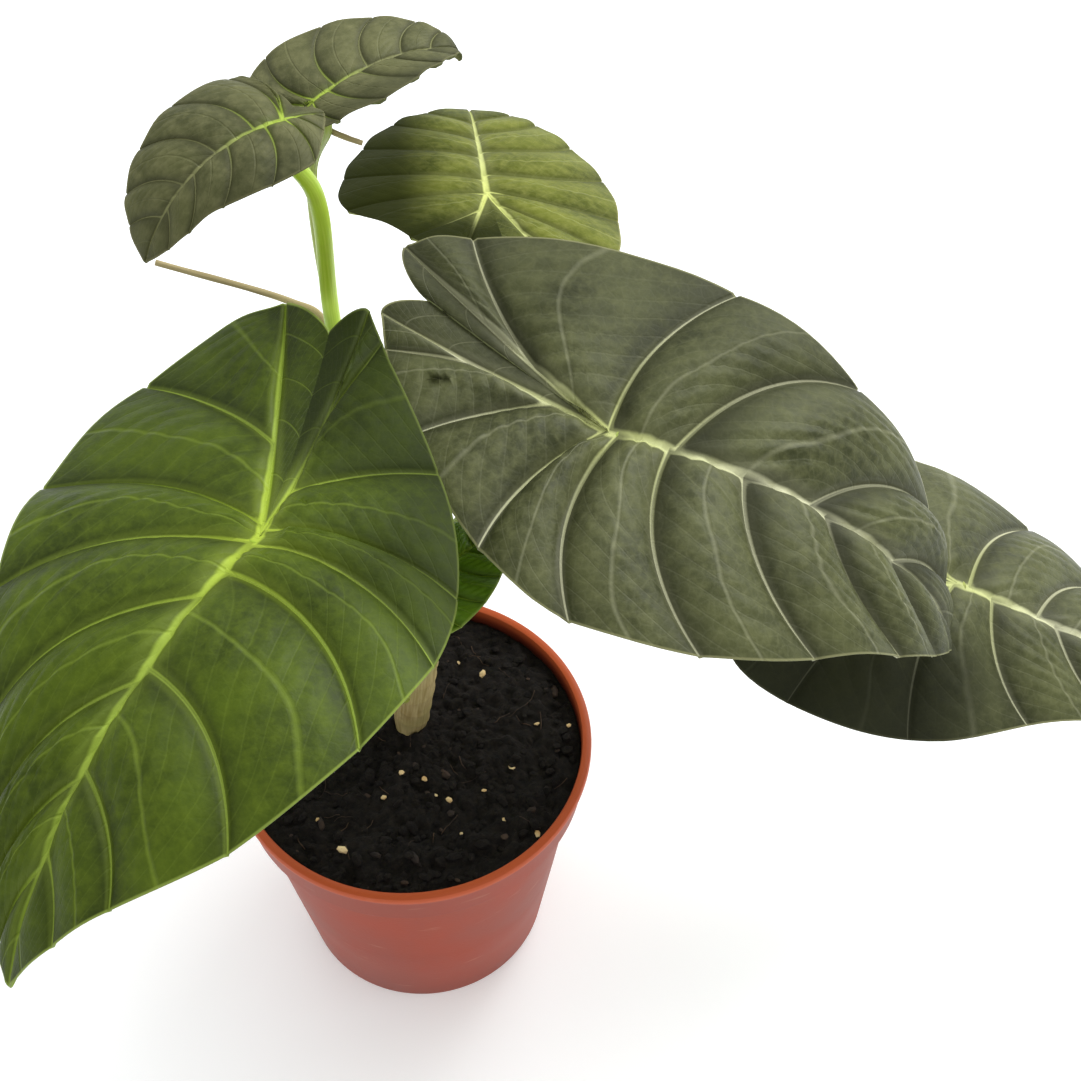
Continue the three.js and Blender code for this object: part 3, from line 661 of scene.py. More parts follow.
# ---------------------------------------------------------------- materials
def leaf_surface(name, deep, mid, bright, vein, sap, rim, under, gloss, wax, halo, fine_veins):
    """Waxy leaf skin: the veins, the panels between them, the margin and the duller underside.

    gloss is the roughness of the wax, wax is how strongly it shines, halo is how pale the flesh beside
    the veins is, and fine_veins is how clearly the finest side veins show.
    """
    material, tree = new_material(name)
    deep, mid, bright, vein, rim, under = (linear(c) for c in (deep, mid, bright, vein, rim, under))
    place = put(tree, "ShaderNodeTexCoord").outputs["Object"]
    growth = put(tree, "ShaderNodeUVMap", uv_map="growth").outputs[0]
    ratio = put(tree, "ShaderNodeAttribute", attribute_name="vein").outputs["Fac"]
    margin = put(tree, "ShaderNodeAttribute", attribute_name="rim").outputs["Fac"]
    below = put(tree, "ShaderNodeAttribute", attribute_name="under").outputs["Fac"]
    wander = put(tree, "ShaderNodeAttribute", attribute_name="wander").outputs["Fac"]
    heart = put(tree, "ShaderNodeAttribute", attribute_name="heart").outputs["Fac"]
    puff = put(tree, "ShaderNodeAttribute", attribute_name="puff").outputs["Fac"]
    painted_shade = put(tree, "ShaderNodeAttribute", attribute_name="painted_shade").outputs["Fac"]

    # Slow drift of tone over 25 mm, and mottling between the finest veins over 4 mm.
    drift = put(tree, "ShaderNodeTexNoise", {"Vector": place, "Scale": 40.0, "Detail": 2.0}).outputs[0]
    mottle = put(tree, "ShaderNodeTexNoise", {"Vector": place, "Scale": 260.0, "Detail": 4.0,
                                              "Roughness": 0.65}).outputs[0]
    tone = put(tree, "ShaderNodeMapRange", {0: drift, 1: 0.34, 2: 0.66}).outputs[0]
    skin = mix_colours(tree, tone, deep, mid)
    fleck = put(tree, "ShaderNodeMapRange", {0: mottle, 1: 0.4, 2: 0.75, 4: 0.55}).outputs[0]
    skin = mix_colours(tree, fleck, skin, bright)
    # Painted shade: the flesh is darkened in the furrows beside the veins, and darkened still more
    # towards some margins where the blade turns away from the light.
    shaded = tuple(0.42 * c for c in deep[:3]) + (1.0,)
    painted_shade_colour = tuple(0.28 * c for c in deep[:3]) + (1.0,)
    painted_furrow_shade = put(tree, "ShaderNodeMapRange", {0: puff, 1: 0.0, 2: 0.55, 3: 0.62, 4: 0.0},
                 interpolation_type="SMOOTHSTEP").outputs[0]
    skin = mix_colours(tree, painted_furrow_shade, skin, shaded)
    dark = put(tree, "ShaderNodeMath", {0: painted_shade, 1: 0.95}, operation="MULTIPLY").outputs[0]

    # Finest veins: 3 mm cells of the net, and side branches about every 8 mm across each panel.
    cells = put(tree, "ShaderNodeTexVoronoi", {"Vector": place, "Scale": 330.0},
                feature="DISTANCE_TO_EDGE")
    net = put(tree, "ShaderNodeMapRange",
              {0: cells.outputs[0], 1: 0.0, 2: 0.14, 3: 1.0, 4: 0.0}).outputs[0]
    parts = put(tree, "ShaderNodeSeparateXYZ", {0: growth})
    panel = put(tree, "ShaderNodeMath", {0: parts.outputs[0], 1: float(PANEL_SPAN)},
                operation="MULTIPLY").outputs[0]
    inside = put(tree, "ShaderNodeMath", {0: panel}, operation="FRACT").outputs[0]
    slant = put(tree, "ShaderNodeMath", {0: inside, 1: -BRANCH_SLANT, 2: parts.outputs[1]},
                operation="MULTIPLY_ADD").outputs[0]
    slant = put(tree, "ShaderNodeMath", {0: wander, 1: BRANCH_WANDER, 2: slant},
                operation="MULTIPLY_ADD").outputs[0]
    count = put(tree, "ShaderNodeMath", {0: slant, 1: BRANCHES}, operation="MULTIPLY").outputs[0]
    branch = put(tree, "ShaderNodeMath", {0: count, 1: 0.5}, operation="PINGPONG").outputs[0]
    branch = put(tree, "ShaderNodeMapRange", {0: branch, 1: 0.0, 2: 0.07, 3: 1.0, 4: 0.0}).outputs[0]
    middle = put(tree, "ShaderNodeMath", {0: wander, 1: 0.2, 2: inside},
                 operation="MULTIPLY_ADD").outputs[0]
    middle = put(tree, "ShaderNodeMath", {0: middle, 1: 0.5}, operation="SUBTRACT").outputs[0]
    middle = put(tree, "ShaderNodeMath", {0: middle}, operation="ABSOLUTE").outputs[0]
    middle = put(tree, "ShaderNodeMapRange", {0: middle, 1: 0.006, 2: 0.03, 3: 1.0, 4: 0.0}).outputs[0]
    branch = put(tree, "ShaderNodeMath", {0: branch, 1: 0.3}, operation="MULTIPLY").outputs[0]
    fine = put(tree, "ShaderNodeMath", {0: branch, 1: middle}, operation="MAXIMUM").outputs[0]
    fine_share = put(tree, "ShaderNodeMath", {0: fine, 1: fine_veins}, operation="MULTIPLY").outputs[0]
    skin = mix_colours(tree, fine_share, skin, vein)
    net_share = put(tree, "ShaderNodeMath", {0: net, 1: 0.02}, operation="MULTIPLY").outputs[0]
    skin = mix_colours(tree, net_share, skin, vein)

    # Veins are yellower near the stalk; paler flesh lies beside each, and a thin pale line on the margin.
    near_stalk = put(tree, "ShaderNodeMapRange",
                     {0: heart, 1: 4.0, 2: 42.0, 3: 0.85, 4: 0.0}).outputs[0]
    vein = mix_colours(tree, near_stalk, vein, linear(sap))
    glow = put(tree, "ShaderNodeMapRange", {0: ratio, 1: 1.0, 2: 5.0, 3: halo, 4: 0.0},
               interpolation_type="SMOOTHSTEP").outputs[0]
    skin = mix_colours(tree, glow, skin, vein)
    core = put(tree, "ShaderNodeMapRange", {0: ratio, 1: 0.5, 2: 1.25, 3: 0.95, 4: 0.0},
               interpolation_type="SMOOTHSTEP").outputs[0]
    skin = mix_colours(tree, core, skin, vein)
    line = put(tree, "ShaderNodeMapRange", {0: margin, 1: 0.3, 2: 0.8, 3: 0.7, 4: 0.0}).outputs[0]
    skin = mix_colours(tree, line, skin, rim)
    # Painted shade where the blade turns away from the light.
    skin = mix_colours(tree, dark, skin, painted_shade_colour)
    dull = mix_colours(tree, core, under, vein)
    skin = mix_colours(tree, below, skin, dull)

    # The net lies a little under the skin, and the wax is duller where the flesh is mottled or darkened
    # by painted shade.
    relief = put(tree, "ShaderNodeMath", {0: fine, 1: -0.9, 2: mottle},
                 operation="MULTIPLY_ADD").outputs[0]
    relief = put(tree, "ShaderNodeMath", {0: net, 1: -0.12, 2: relief},
                 operation="MULTIPLY_ADD").outputs[0]
    bump = put(tree, "ShaderNodeBump",
               {"Strength": 0.55, "Distance": 0.00035, "Height": relief}).outputs[0]
    rough = put(tree, "ShaderNodeMapRange",
                {0: mottle, 1: 0.3, 2: 0.7, 3: gloss, 4: gloss + 0.1}).outputs[0]
    rough = put(tree, "ShaderNodeMath", {0: below, 1: 0.2, 2: rough},
                operation="MULTIPLY_ADD").outputs[0]
    rough = put(tree, "ShaderNodeMath", {0: painted_shade, 1: 0.25, 2: rough},
                operation="MULTIPLY_ADD").outputs[0]
    shader = put(tree, "ShaderNodeBsdfPrincipled", {
        "Base Color": skin, "Roughness": rough, "Normal": bump, "IOR": 1.42,
        "Specular IOR Level": wax})
    finish_material(tree, shader)
    return material


def stalk_surface(name, foot, top, streak, gloss):
    """Stalk skin: smooth and green, with fine fibres along it."""
    material, tree = new_material(name)
    growth = put(tree, "ShaderNodeUVMap", uv_map="growth").outputs[0]
    place = put(tree, "ShaderNodeTexCoord").outputs["Object"]
    # Fibres about 0.5 mm wide and 20 mm long.
    long_way = put(tree, "ShaderNodeMapping", {"Vector": growth, "Scale": (200.0, 5.0, 1.0)}).outputs[0]
    fibre = put(tree, "ShaderNodeTexNoise", {"Vector": long_way, "Scale": 1.0, "Detail": 3.0}).outputs[0]
    blotch = put(tree, "ShaderNodeTexNoise", {"Vector": place, "Scale": 70.0, "Detail": 3.0}).outputs[0]
    height = put(tree, "ShaderNodeSeparateXYZ", {0: place}).outputs[2]
    rise = put(tree, "ShaderNodeMapRange", {0: height, 1: 0.115, 2: 0.19}).outputs[0]
    skin = mix_colours(tree, rise, linear(foot), linear(top))
    share = put(tree, "ShaderNodeMapRange", {0: fibre, 1: 0.4, 2: 0.7, 4: 0.5}).outputs[0]
    skin = mix_colours(tree, share, skin, linear(streak))
    spots = put(tree, "ShaderNodeMapRange", {0: blotch, 1: 0.55, 2: 0.75, 4: 0.3}).outputs[0]
    skin = mix_colours(tree, spots, skin, linear(foot))
    bump = put(tree, "ShaderNodeBump",
               {"Strength": 0.4, "Distance": 0.0003, "Height": fibre}).outputs[0]
    shader = put(tree, "ShaderNodeBsdfPrincipled", {
        "Base Color": skin, "Roughness": gloss, "Normal": bump, "IOR": 1.42})
    finish_material(tree, shader)
    return material


def bark_surface():
    """Corky trunk skin: tan, with long fibres, patches and small darker pits."""
    material, tree = new_material("corky_trunk_skin")
    growth = put(tree, "ShaderNodeUVMap", uv_map="growth").outputs[0]
    place = put(tree, "ShaderNodeTexCoord").outputs["Object"]
    # Fibres about 0.8 mm wide and 12 mm long.
    long_way = put(tree, "ShaderNodeMapping", {"Vector": growth, "Scale": (130.0, 9.0, 1.0)}).outputs[0]
    fibre = put(tree, "ShaderNodeTexNoise", {"Vector": long_way, "Scale": 1.0, "Detail": 5.0}).outputs[0]
    pits = put(tree, "ShaderNodeTexNoise", {"Vector": place, "Scale": 420.0, "Detail": 4.0}).outputs[0]
    patch = put(tree, "ShaderNodeTexNoise", {"Vector": place, "Scale": 80.0, "Detail": 2.0}).outputs[0]
    share = put(tree, "ShaderNodeMapRange", {0: fibre, 1: 0.35, 2: 0.68}).outputs[0]
    skin = mix_colours(tree, share, linear("#927f4e"), linear("#b5a474"))
    share = put(tree, "ShaderNodeMapRange", {0: patch, 1: 0.5, 2: 0.7, 4: 0.5}).outputs[0]
    skin = mix_colours(tree, share, skin, linear("#989058"))
    share = put(tree, "ShaderNodeMapRange", {0: pits, 1: 0.62, 2: 0.78, 4: 0.45}).outputs[0]
    skin = mix_colours(tree, share, skin, linear("#776845"))
    height = put(tree, "ShaderNodeMath", {0: pits, 1: -0.6, 2: fibre},
                 operation="MULTIPLY_ADD").outputs[0]
    bump = put(tree, "ShaderNodeBump",
               {"Strength": 0.5, "Distance": 0.0002, "Height": height}).outputs[0]
    shader = put(tree, "ShaderNodeBsdfPrincipled", {
        "Base Color": skin, "Roughness": 0.78, "Normal": bump, "IOR": 1.4})
    finish_material(tree, shader)
    return material


def pot_surface(colour):
    """Moulded polypropylene, terracotta coloured: even satin, a fine moulded grain and faint rubs."""
    material, tree = new_material("moulded_polypropylene_terracotta")
    place = put(tree, "ShaderNodeTexCoord").outputs["Object"]
    cloud = put(tree, "ShaderNodeTexNoise", {"Vector": place, "Scale": 28.0, "Detail": 3.0}).outputs[0]
    # Moulded grain of 0.6 mm, drawn about twice as coarse as the real one so that it shows.
    grain = put(tree, "ShaderNodeTexNoise", {"Vector": place, "Scale": 900.0, "Detail": 2.0}).outputs[0]
    # Rubs: streaks about 14 mm long round the wall and 1.5 mm high.
    flat = put(tree, "ShaderNodeMapping", {"Vector": place, "Scale": (60.0, 60.0, 420.0)}).outputs[0]
    rub = put(tree, "ShaderNodeTexNoise", {"Vector": flat, "Scale": 1.0, "Detail": 4.0}).outputs[0]
    height = put(tree, "ShaderNodeSeparateXYZ", {0: place}).outputs[2]
    # Painted highlight: the top of the lip is painted a lighter orange, as where light catches it.
    lip = put(tree, "ShaderNodeMapRange", {0: height, 1: 0.0985, 2: 0.1005}).outputs[0]
    dark, light = (tuple(min(c * k, 1) for c in colour) + (1.0,) for k in (0.9, 1.1))
    share = put(tree, "ShaderNodeMapRange", {0: cloud, 1: 0.35, 2: 0.65}).outputs[0]
    skin = mix_colours(tree, share, dark, light)
    skin = mix_colours(tree, lip, skin, linear("#b4522c"))
    worn = put(tree, "ShaderNodeMapRange", {0: rub, 1: 0.66, 2: 0.8, 4: 0.35}).outputs[0]
    skin = mix_colours(tree, worn, skin, linear("#c99a80"))
    # Peat dust and painted shade darken the inside of the wall just above the soil.
    ring = put(tree, "ShaderNodeVectorMath", {0: place, 1: (1.0, 1.0, 0.0)},
               operation="MULTIPLY").outputs[0]
    radius = put(tree, "ShaderNodeVectorMath", {0: ring}, operation="LENGTH").outputs["Value"]
    inside = put(tree, "ShaderNodeMapRange",
                 {0: radius, 1: 0.0567, 2: 0.0573, 3: 1.0, 4: 0.0}).outputs[0]
    low = put(tree, "ShaderNodeMapRange", {0: height, 1: 0.0965, 2: 0.102, 3: 0.9, 4: 0.25}).outputs[0]
    band = put(tree, "ShaderNodeMapRange", {0: height, 1: 0.0868, 2: 0.0876}).outputs[0]
    dust_and_shade = put(tree, "ShaderNodeMath", {0: inside, 1: low}, operation="MULTIPLY").outputs[0]
    dust_and_shade = put(tree, "ShaderNodeMath", {0: dust_and_shade, 1: band}, operation="MULTIPLY").outputs[0]
    skin = mix_colours(tree, dust_and_shade, skin, linear("#2c130b"))
    rough = put(tree, "ShaderNodeMapRange", {0: cloud, 1: 0.3, 2: 0.7, 3: 0.4, 4: 0.5}).outputs[0]
    bump = put(tree, "ShaderNodeBump",
               {"Strength": 0.25, "Distance": 0.0002, "Height": grain}).outputs[0]
    shader = put(tree, "ShaderNodeBsdfPrincipled", {
        "Base Color": skin, "Roughness": rough, "Normal": bump, "IOR": 1.49,
        "Specular IOR Level": 0.2})
    finish_material(tree, shader)
    return material


def peat_surface():
    """Damp peat: near black and brownish, with a dull crumb that never shines."""
    material, tree = new_material("damp_peat")
    place = put(tree, "ShaderNodeTexCoord").outputs["Object"]
    crumb = put(tree, "ShaderNodeTexNoise", {"Vector": place, "Scale": 520.0, "Detail": 6.0,
                                             "Roughness": 0.7}).outputs[0]
    clod = put(tree, "ShaderNodeTexNoise", {"Vector": place, "Scale": 120.0, "Detail": 3.0}).outputs[0]
    share = put(tree, "ShaderNodeMapRange", {0: crumb, 1: 0.38, 2: 0.72}).outputs[0]
    skin = mix_colours(tree, share, linear("#090706"), linear("#241d16"))
    share = put(tree, "ShaderNodeMapRange", {0: clod, 1: 0.5, 2: 0.75, 4: 0.5}).outputs[0]
    skin = mix_colours(tree, share, skin, linear("#161311"))
    bump = put(tree, "ShaderNodeBump",
               {"Strength": 1.0, "Distance": 0.0014, "Height": crumb}).outputs[0]
    shader = put(tree, "ShaderNodeBsdfPrincipled", {
        "Base Color": skin, "Roughness": 0.9, "Normal": bump, "IOR": 1.35})
    finish_material(tree, shader)
    return material


def chip_surface(name, dark, light, rough):
    """Loose bits in the peat: dry wood, bark or fibre, each a little different in tone."""
    material, tree = new_material(name)
    place = put(tree, "ShaderNodeTexCoord").outputs["Object"]
    tone = put(tree, "ShaderNodeTexNoise", {"Vector": place, "Scale": 160.0, "Detail": 4.0}).outputs[0]
    share = put(tree, "ShaderNodeMapRange", {0: tone, 1: 0.35, 2: 0.65}).outputs[0]
    skin = mix_colours(tree, share, linear(dark), linear(light))
    bump = put(tree, "ShaderNodeBump", {"Strength": 0.5, "Distance": 0.0003, "Height": tone}).outputs[0]
    shader = put(tree, "ShaderNodeBsdfPrincipled", {
        "Base Color": skin, "Roughness": rough, "Normal": bump})
    finish_material(tree, shader)
    return material


# ---------------------------------------------------------------- turned pieces
def turn_up(profile, sides):
    """Turns a profile of (radius, height) in millimetres by extruding a round face ring after ring."""
    deselect()
    radius, height = profile[0]
    bpy.ops.mesh.primitive_circle_add(vertices=sides, radius=radius * MM, fill_type="NGON",
                                      location=(0, 0, height * MM))
    piece = bpy.context.active_object
    bpy.ops.object.mode_set(mode="EDIT")
    bpy.ops.mesh.select_all(action="SELECT")
    for (r0, z0), (r1, z1) in zip(profile, profile[1:]):
        bpy.ops.mesh.extrude_region_move(TRANSFORM_OT_translate={"value": (0, 0, (z1 - z0) * MM)})
        bpy.ops.transform.resize(value=(r1 / r0, r1 / r0, 1), center_override=(0, 0, 0))
    bpy.ops.mesh.select_all(action="SELECT")
    bpy.ops.mesh.normals_make_consistent(inside=False)
    bpy.ops.object.mode_set(mode="OBJECT")
    bpy.ops.object.transform_apply(location=True, rotation=True, scale=True)
    return piece


def apply_modifier(piece, kind, **settings):
    """Adds one modifier with its settings and applies it."""
    modifier = piece.modifiers.new(kind.lower(), kind)
    for key, value in settings.items():
        setattr(modifier, key, value)
    deselect()
    piece.select_set(True)
    bpy.context.view_layer.objects.active = piece
    bpy.ops.object.modifier_apply(modifier=modifier.name)


# ---------------------------------------------------------------- settings
class ALOCASIA_PG_pot(bpy.types.PropertyGroup):
    """Sizes and colour of the nursery pot"""
    rim_radius: bpy.props.FloatProperty(
        name="Rim radius", description="Outside radius of the lip", default=0.06, unit="LENGTH")
    base_radius: bpy.props.FloatProperty(
        name="Base radius", description="Outside radius of the foot", default=0.0435, unit="LENGTH")
    height: bpy.props.FloatProperty(
        name="Height", description="From the table to the top of the lip", default=0.1024, unit="LENGTH")
    colour: bpy.props.FloatVectorProperty(
        name="Colour", description="Colour of the moulded plastic", size=3, subtype="COLOR",
        default=linear("#933820")[:3], min=0, max=1)


class ALOCASIA_PG_soil(bpy.types.PropertyGroup):
    """Roughness of the peat and how much is strewn on it"""
    lump_height: bpy.props.FloatProperty(
        name="Lump height", description="How far the peat's lumps rise", default=0.003, unit="LENGTH")
    crumbs: bpy.props.IntProperty(
        name="Crumbs", description="How many loose crumbs lie on the peat", default=620, min=0)
    chips: bpy.props.IntProperty(
        name="Chips", description="How many pale wood chips lie on the peat", default=26, min=0)


class ALOCASIA_PG_plant(bpy.types.PropertyGroup):
    """Relief of the leaves and stalks"""
    blade_thickness: bpy.props.FloatProperty(
        name="Blade thickness", description="Thickness of a blade between its veins",
        default=0.0008, unit="LENGTH")
    quilting: bpy.props.FloatProperty(
        name="Quilting", description="How far the panels between the veins rise",
        default=0.0038, unit="LENGTH")
    vein_relief: bpy.props.FloatProperty(
        name="Vein relief", description="How deep the main veins are sunk above",
        default=0.001, unit="LENGTH")
    stalk_ridges: bpy.props.FloatProperty(
        name="Stalk ridges", description="Depth of the ridges along a stalk, as a share of its radius",
        default=0.02, subtype="FACTOR")


class ALOCASIA_PG_stage(bpy.types.PropertyGroup):
    """Floor and light of the studio"""
    floor_size: bpy.props.FloatProperty(
        name="Floor size", description="Side of the square floor", default=8.0, unit="LENGTH")
    key_power: bpy.props.FloatProperty(
        name="Key light", description="Power of the large soft light", default=21.0, unit="POWER")


# ---------------------------------------------------------------- operators
class ALOCASIA_OT_stage(bpy.types.Operator):
    """Set up the pale floor, the soft light and the camera"""
    bl_idname = "alocasia.stage"
    bl_label = "Studio"

    def execute(self, context):
        settings = context.scene.alocasia_stage
        deselect()
        bpy.ops.mesh.primitive_plane_add(size=settings.floor_size, location=(0, 0, 0))
        floor = context.active_object
        floor.name = "studio_floor"
        material, tree = new_material("pale_studio_floor")
        place = put(tree, "ShaderNodeTexCoord").outputs["Object"]
        tone = put(tree, "ShaderNodeTexNoise", {"Vector": place, "Scale": 3.0}).outputs[0]
        paint = mix_colours(tree, tone, linear("#f1f4f5"), linear("#f4f7f8"))
        finish_material(tree, put(tree, "ShaderNodeBsdfPrincipled", {
            "Base Color": paint, "Roughness": 0.9, "Specular IOR Level": 0.1,
            "Emission Color": (1.0, 1.0, 1.0, 1.0), "Emission Strength": 0.2}))
        floor.data.materials.append(material)

        world = bpy.data.worlds.new("soft_white_room")
        context.scene.world = world
        world.use_nodes = True
        world.node_tree.nodes.clear()
        light = put(world.node_tree, "ShaderNodeBackground", {
            "Color": (1.0, 1.0, 1.0, 1.0), "Strength": 0.8})
        put(world.node_tree, "ShaderNodeOutputWorld", {"Surface": light.outputs[0]})

        for name, at, size, power in (
                ("key_softbox", (0.9, 0.7, 1.2), 1.2, settings.key_power),
                ("top_softbox", (0.1, 0.5, 1.6), 1.8, settings.key_power * 0.55)):
            lamp = bpy.data.lights.new(name, "AREA")
            lamp.size = size
            lamp.energy = power
            holder = bpy.data.objects.new(name, lamp)
            holder.location = at
            aim = Vector((0.03, 0.0, 0.15)) - Vector(at)
            holder.rotation_euler = aim.to_track_quat("-Z", "Y").to_euler()
            context.scene.collection.objects.link(holder)

        camera = bpy.data.cameras.new("camera")
        camera.lens = 56.6
        camera.sensor_width = 36.0
        camera.clip_start = 0.01
        holder = bpy.data.objects.new("camera", camera)
        holder.location = (0.043, -0.311, 0.578)
        holder.rotation_euler = (math.radians(39.8), 0, 0)
        context.scene.collection.objects.link(holder)
        context.scene.camera = holder
        context.scene.view_settings.view_transform = "Standard"
        return {"FINISHED"}


class ALOCASIA_OT_pot(bpy.types.Operator):
    """Mould the nursery pot with its band, lip and drain holes"""
    bl_idname = "alocasia.pot"
    bl_label = "Pot"

    def execute(self, context):
        settings = context.scene.alocasia_pot
        rim, base, height = (k / MM for k in (settings.rim_radius, settings.base_radius, settings.height))
        band_foot = height - BAND_HEIGHT
        band = WALL_TOP_RADIUS + BAND_STEP
        slope = (WALL_TOP_RADIUS - base) / band_foot
        profile = [
            (base - 4.5, 1.2), (base - 4.0, 0.0), (base - 0.8, 0.0), (base, 0.8),
            (base + slope * MID_WALL, MID_WALL), (WALL_TOP_RADIUS - 0.15, band_foot - 0.6),
            (WALL_TOP_RADIUS + 0.5, band_foot), (band - 0.5, band_foot + 0.2), (band, band_foot + 0.9),
            (rim - 1.7, height - LIP_WIDTH - 0.9), (rim - 1.3, height - LIP_WIDTH - 0.3),
            (rim - 0.3, height - LIP_WIDTH + 0.2), (rim, height - LIP_WIDTH + 0.8),
            (rim, height - 1.0), (rim - 0.35, height - 0.3), (rim - 1.0, height),
            (rim - LIP_WIDTH + 1.0, height), (rim - LIP_WIDTH + 0.3, height - 0.3),
            (rim - LIP_WIDTH, height - 1.0), (band - POT_WALL, band_foot + 3.0),
            (WALL_TOP_RADIUS - POT_WALL, band_foot + 1.0),
            (base - POT_WALL + slope * MID_WALL, MID_WALL), (base - POT_WALL, POT_FLOOR),
        ]
        piece = turn_up(profile, POT_SIDES)
        piece.name = "nursery_pot"
        cutters = []
        for i in range(DRAIN_HOLES):
            angle = (i + 0.5) / DRAIN_HOLES * 2 * math.pi
            deselect()
            bpy.ops.mesh.primitive_cylinder_add(
                vertices=32, radius=DRAIN_RADIUS * MM, depth=12 * MM,
                location=(DRAIN_CIRCLE * math.cos(angle) * MM, DRAIN_CIRCLE * math.sin(angle) * MM, 0))
            cutters.append(context.active_object)
        for cutter in cutters:
            apply_modifier(piece, "BOOLEAN", operation="DIFFERENCE", solver="EXACT", object=cutter)
        for cutter in cutters:
            bpy.data.objects.remove(cutter, do_unlink=True)
        deselect()
        piece.select_set(True)
        context.view_layer.objects.active = piece
        bpy.ops.object.shade_smooth_by_angle(angle=math.radians(38))
        own(piece, pot_surface(settings.colour), "pot_plastic", "pot")
        return {"FINISHED"}


class ALOCASIA_OT_soil(bpy.types.Operator):
    """Fill the pot with peat and strew crumbs, fibres and wood chips on it"""
    bl_idname = "alocasia.soil"
    bl_label = "Soil"

    def execute(self, context):
        settings = context.scene.alocasia_soil
        lump = settings.lump_height / MM
        foot = 41.0
        edge = WALL_TOP_RADIUS + BAND_STEP - POT_WALL + 0.3
        flat = SOIL_LEVEL - 1.6
        profile = [(foot, POT_FLOOR + 0.3), (52.6, 85.0), (edge - 0.9, 88.6), (edge - 0.1, flat)]
        profile += [(edge * (1 - k / SOIL_RINGS) + 0.25, flat) for k in range(1, SOIL_RINGS)]
        piece = turn_up(profile, 240)
        piece.name = "peat_fill"

        def ground(x, y):
            """Height of the peat at a place, in millimetres."""
            r = math.hypot(x, y)
            at = Vector((x, y, 0))
            lumps = noise.fractal(at * 0.11, 0.9, 2.1, 5, noise_basis="PERLIN_ORIGINAL")
            clods = max(noise.noise(at * 0.33 + Vector((7, 3, 5))), -0.15)
            fine = noise.noise(at * 0.9 + Vector((1, 9, 4)))
            rise = lump * (0.75 * lumps + 0.75 * clods + 0.28 * fine)
            shelf = SOIL_LEVEL + SOIL_CROWN * (1 - (r / edge)**2) - 0.6 * (r / edge)**6
            heap = SOIL_HEAP * math.exp(-math.dist((x, y), TRUNK_PLACE)**2 / 160)
            return shelf + heap + rise * min(1, (edge - r) / 5 + 0.35)

        for vertex in piece.data.vertices:
            if vertex.co.z > (SOIL_LEVEL - 1.7) * MM:
                vertex.co.z = ground(vertex.co.x / MM, vertex.co.y / MM) * MM
        piece.data.polygons.foreach_set("use_smooth", [True] * len(piece.data.polygons))
        piece.data.update()
        peat = peat_surface()
        own(piece, peat, "potting_soil", "soil")

        deselect()
        bpy.ops.mesh.primitive_ico_sphere_add(subdivisions=1, radius=1.0)
        pattern = context.active_object
        corners = [v.co.copy() for v in pattern.data.vertices]
        rings = [list(p.vertices) for p in pattern.data.polygons]
        bpy.data.objects.remove(pattern, do_unlink=True)

        def strewn(name, count, seed, small, large, squash, stretch, sink):
            """Many small lumps lying on the peat, each turned and squashed its own way."""
            pick = random.Random(seed)
            points, faces = [], []
            placed = 0
            while placed < count:
                r = edge * math.sqrt(pick.random()) * 0.965
                angle = pick.uniform(0, 2 * math.pi)
                x, y = r * math.cos(angle), r * math.sin(angle)
                if math.dist((x, y), TRUNK_PLACE) < 8.0:
                    continue
                placed += 1
                size = small + (large - small) * pick.random()**2
                turn = pick.uniform(0, 2 * math.pi)
                tilt = pick.uniform(-0.5, 0.5)
                long_side = size * pick.uniform(1, stretch)
                flat = size * pick.uniform(squash, 1)
                low = len(points)
                for c in corners:
                    bend = 1 + 0.3 * noise.noise(c * 1.3 + Vector((placed, seed, 0)))
                    u, v, h = c.x * long_side * bend, c.y * size * bend, c.z * flat * bend
                    h += u * tilt
                    points.append((x + u * math.cos(turn) - v * math.sin(turn),
                                   y + u * math.sin(turn) + v * math.cos(turn),
                                   ground(x, y) + h + flat * (1 - sink)))
                faces += [[k + low for k in ring] for ring in rings]
            made = new_piece(name, points, faces)
            made.data.polygons.foreach_set("use_smooth", [False] * len(made.data.polygons))
            return made

        crumbs = strewn("peat_crumbs", settings.crumbs, 4, 0.35, 1.9, 0.5, 1.7, 0.75)
        own(crumbs, peat, "potting_soil")
        chips = strewn("wood_chips", settings.chips, 21, 0.55, 1.35, 0.4, 1.7, 0.4)
        own(chips, chip_surface("dry_wood_chips", "#c39a60", "#ecd6a4", 0.8), "potting_soil")
        bark = strewn("bark_bits", settings.chips * 2, 33, 0.5, 1.5, 0.3, 2.2, 0.65)
        own(bark, chip_surface("composted_bark", "#17100b", "#38271a", 0.85), "potting_soil")

        pick = random.Random(12)
        points, faces = [], []
        for _ in range(FIBRE_COUNT):
            r = edge * math.sqrt(pick.random()) * 0.9
            angle = pick.uniform(0, 2 * math.pi)
            x, y = r * math.cos(angle), r * math.sin(angle)
            heading = pick.uniform(0, 2 * math.pi)
            turn = pick.uniform(-0.25, 0.25)
            low = len(points)
            steps = pick.randint(4, 8)
            thick = pick.uniform(0.1, 0.2)
            for k in range(steps):
                side = (-math.sin(heading), math.cos(heading))
                z = ground(x, y) + 0.35
                for dx, dz in ((-thick, 0), (0, thick), (thick, 0), (0, -thick)):
                    points.append((x + side[0] * dx, y + side[1] * dx, z + dz))
                x += FIBRE_STEP * math.cos(heading)
                y += FIBRE_STEP * math.sin(heading)
                heading += turn
            for k in range(steps - 1):
                a = low + 4 * k
                faces += [[a + i, a + (i + 1) % 4, a + 4 + (i + 1) % 4, a + 4 + i] for i in range(4)]
            faces += [[low + 3, low + 2, low + 1, low], [low + 4 * (steps - 1) + i for i in range(4)]]
        fibres = new_piece("peat_fibres", points, faces)
        own(fibres, chip_surface("peat_root_fibre", "#241a12", "#4d3927", 0.85), "potting_soil")
        return {"FINISHED"}


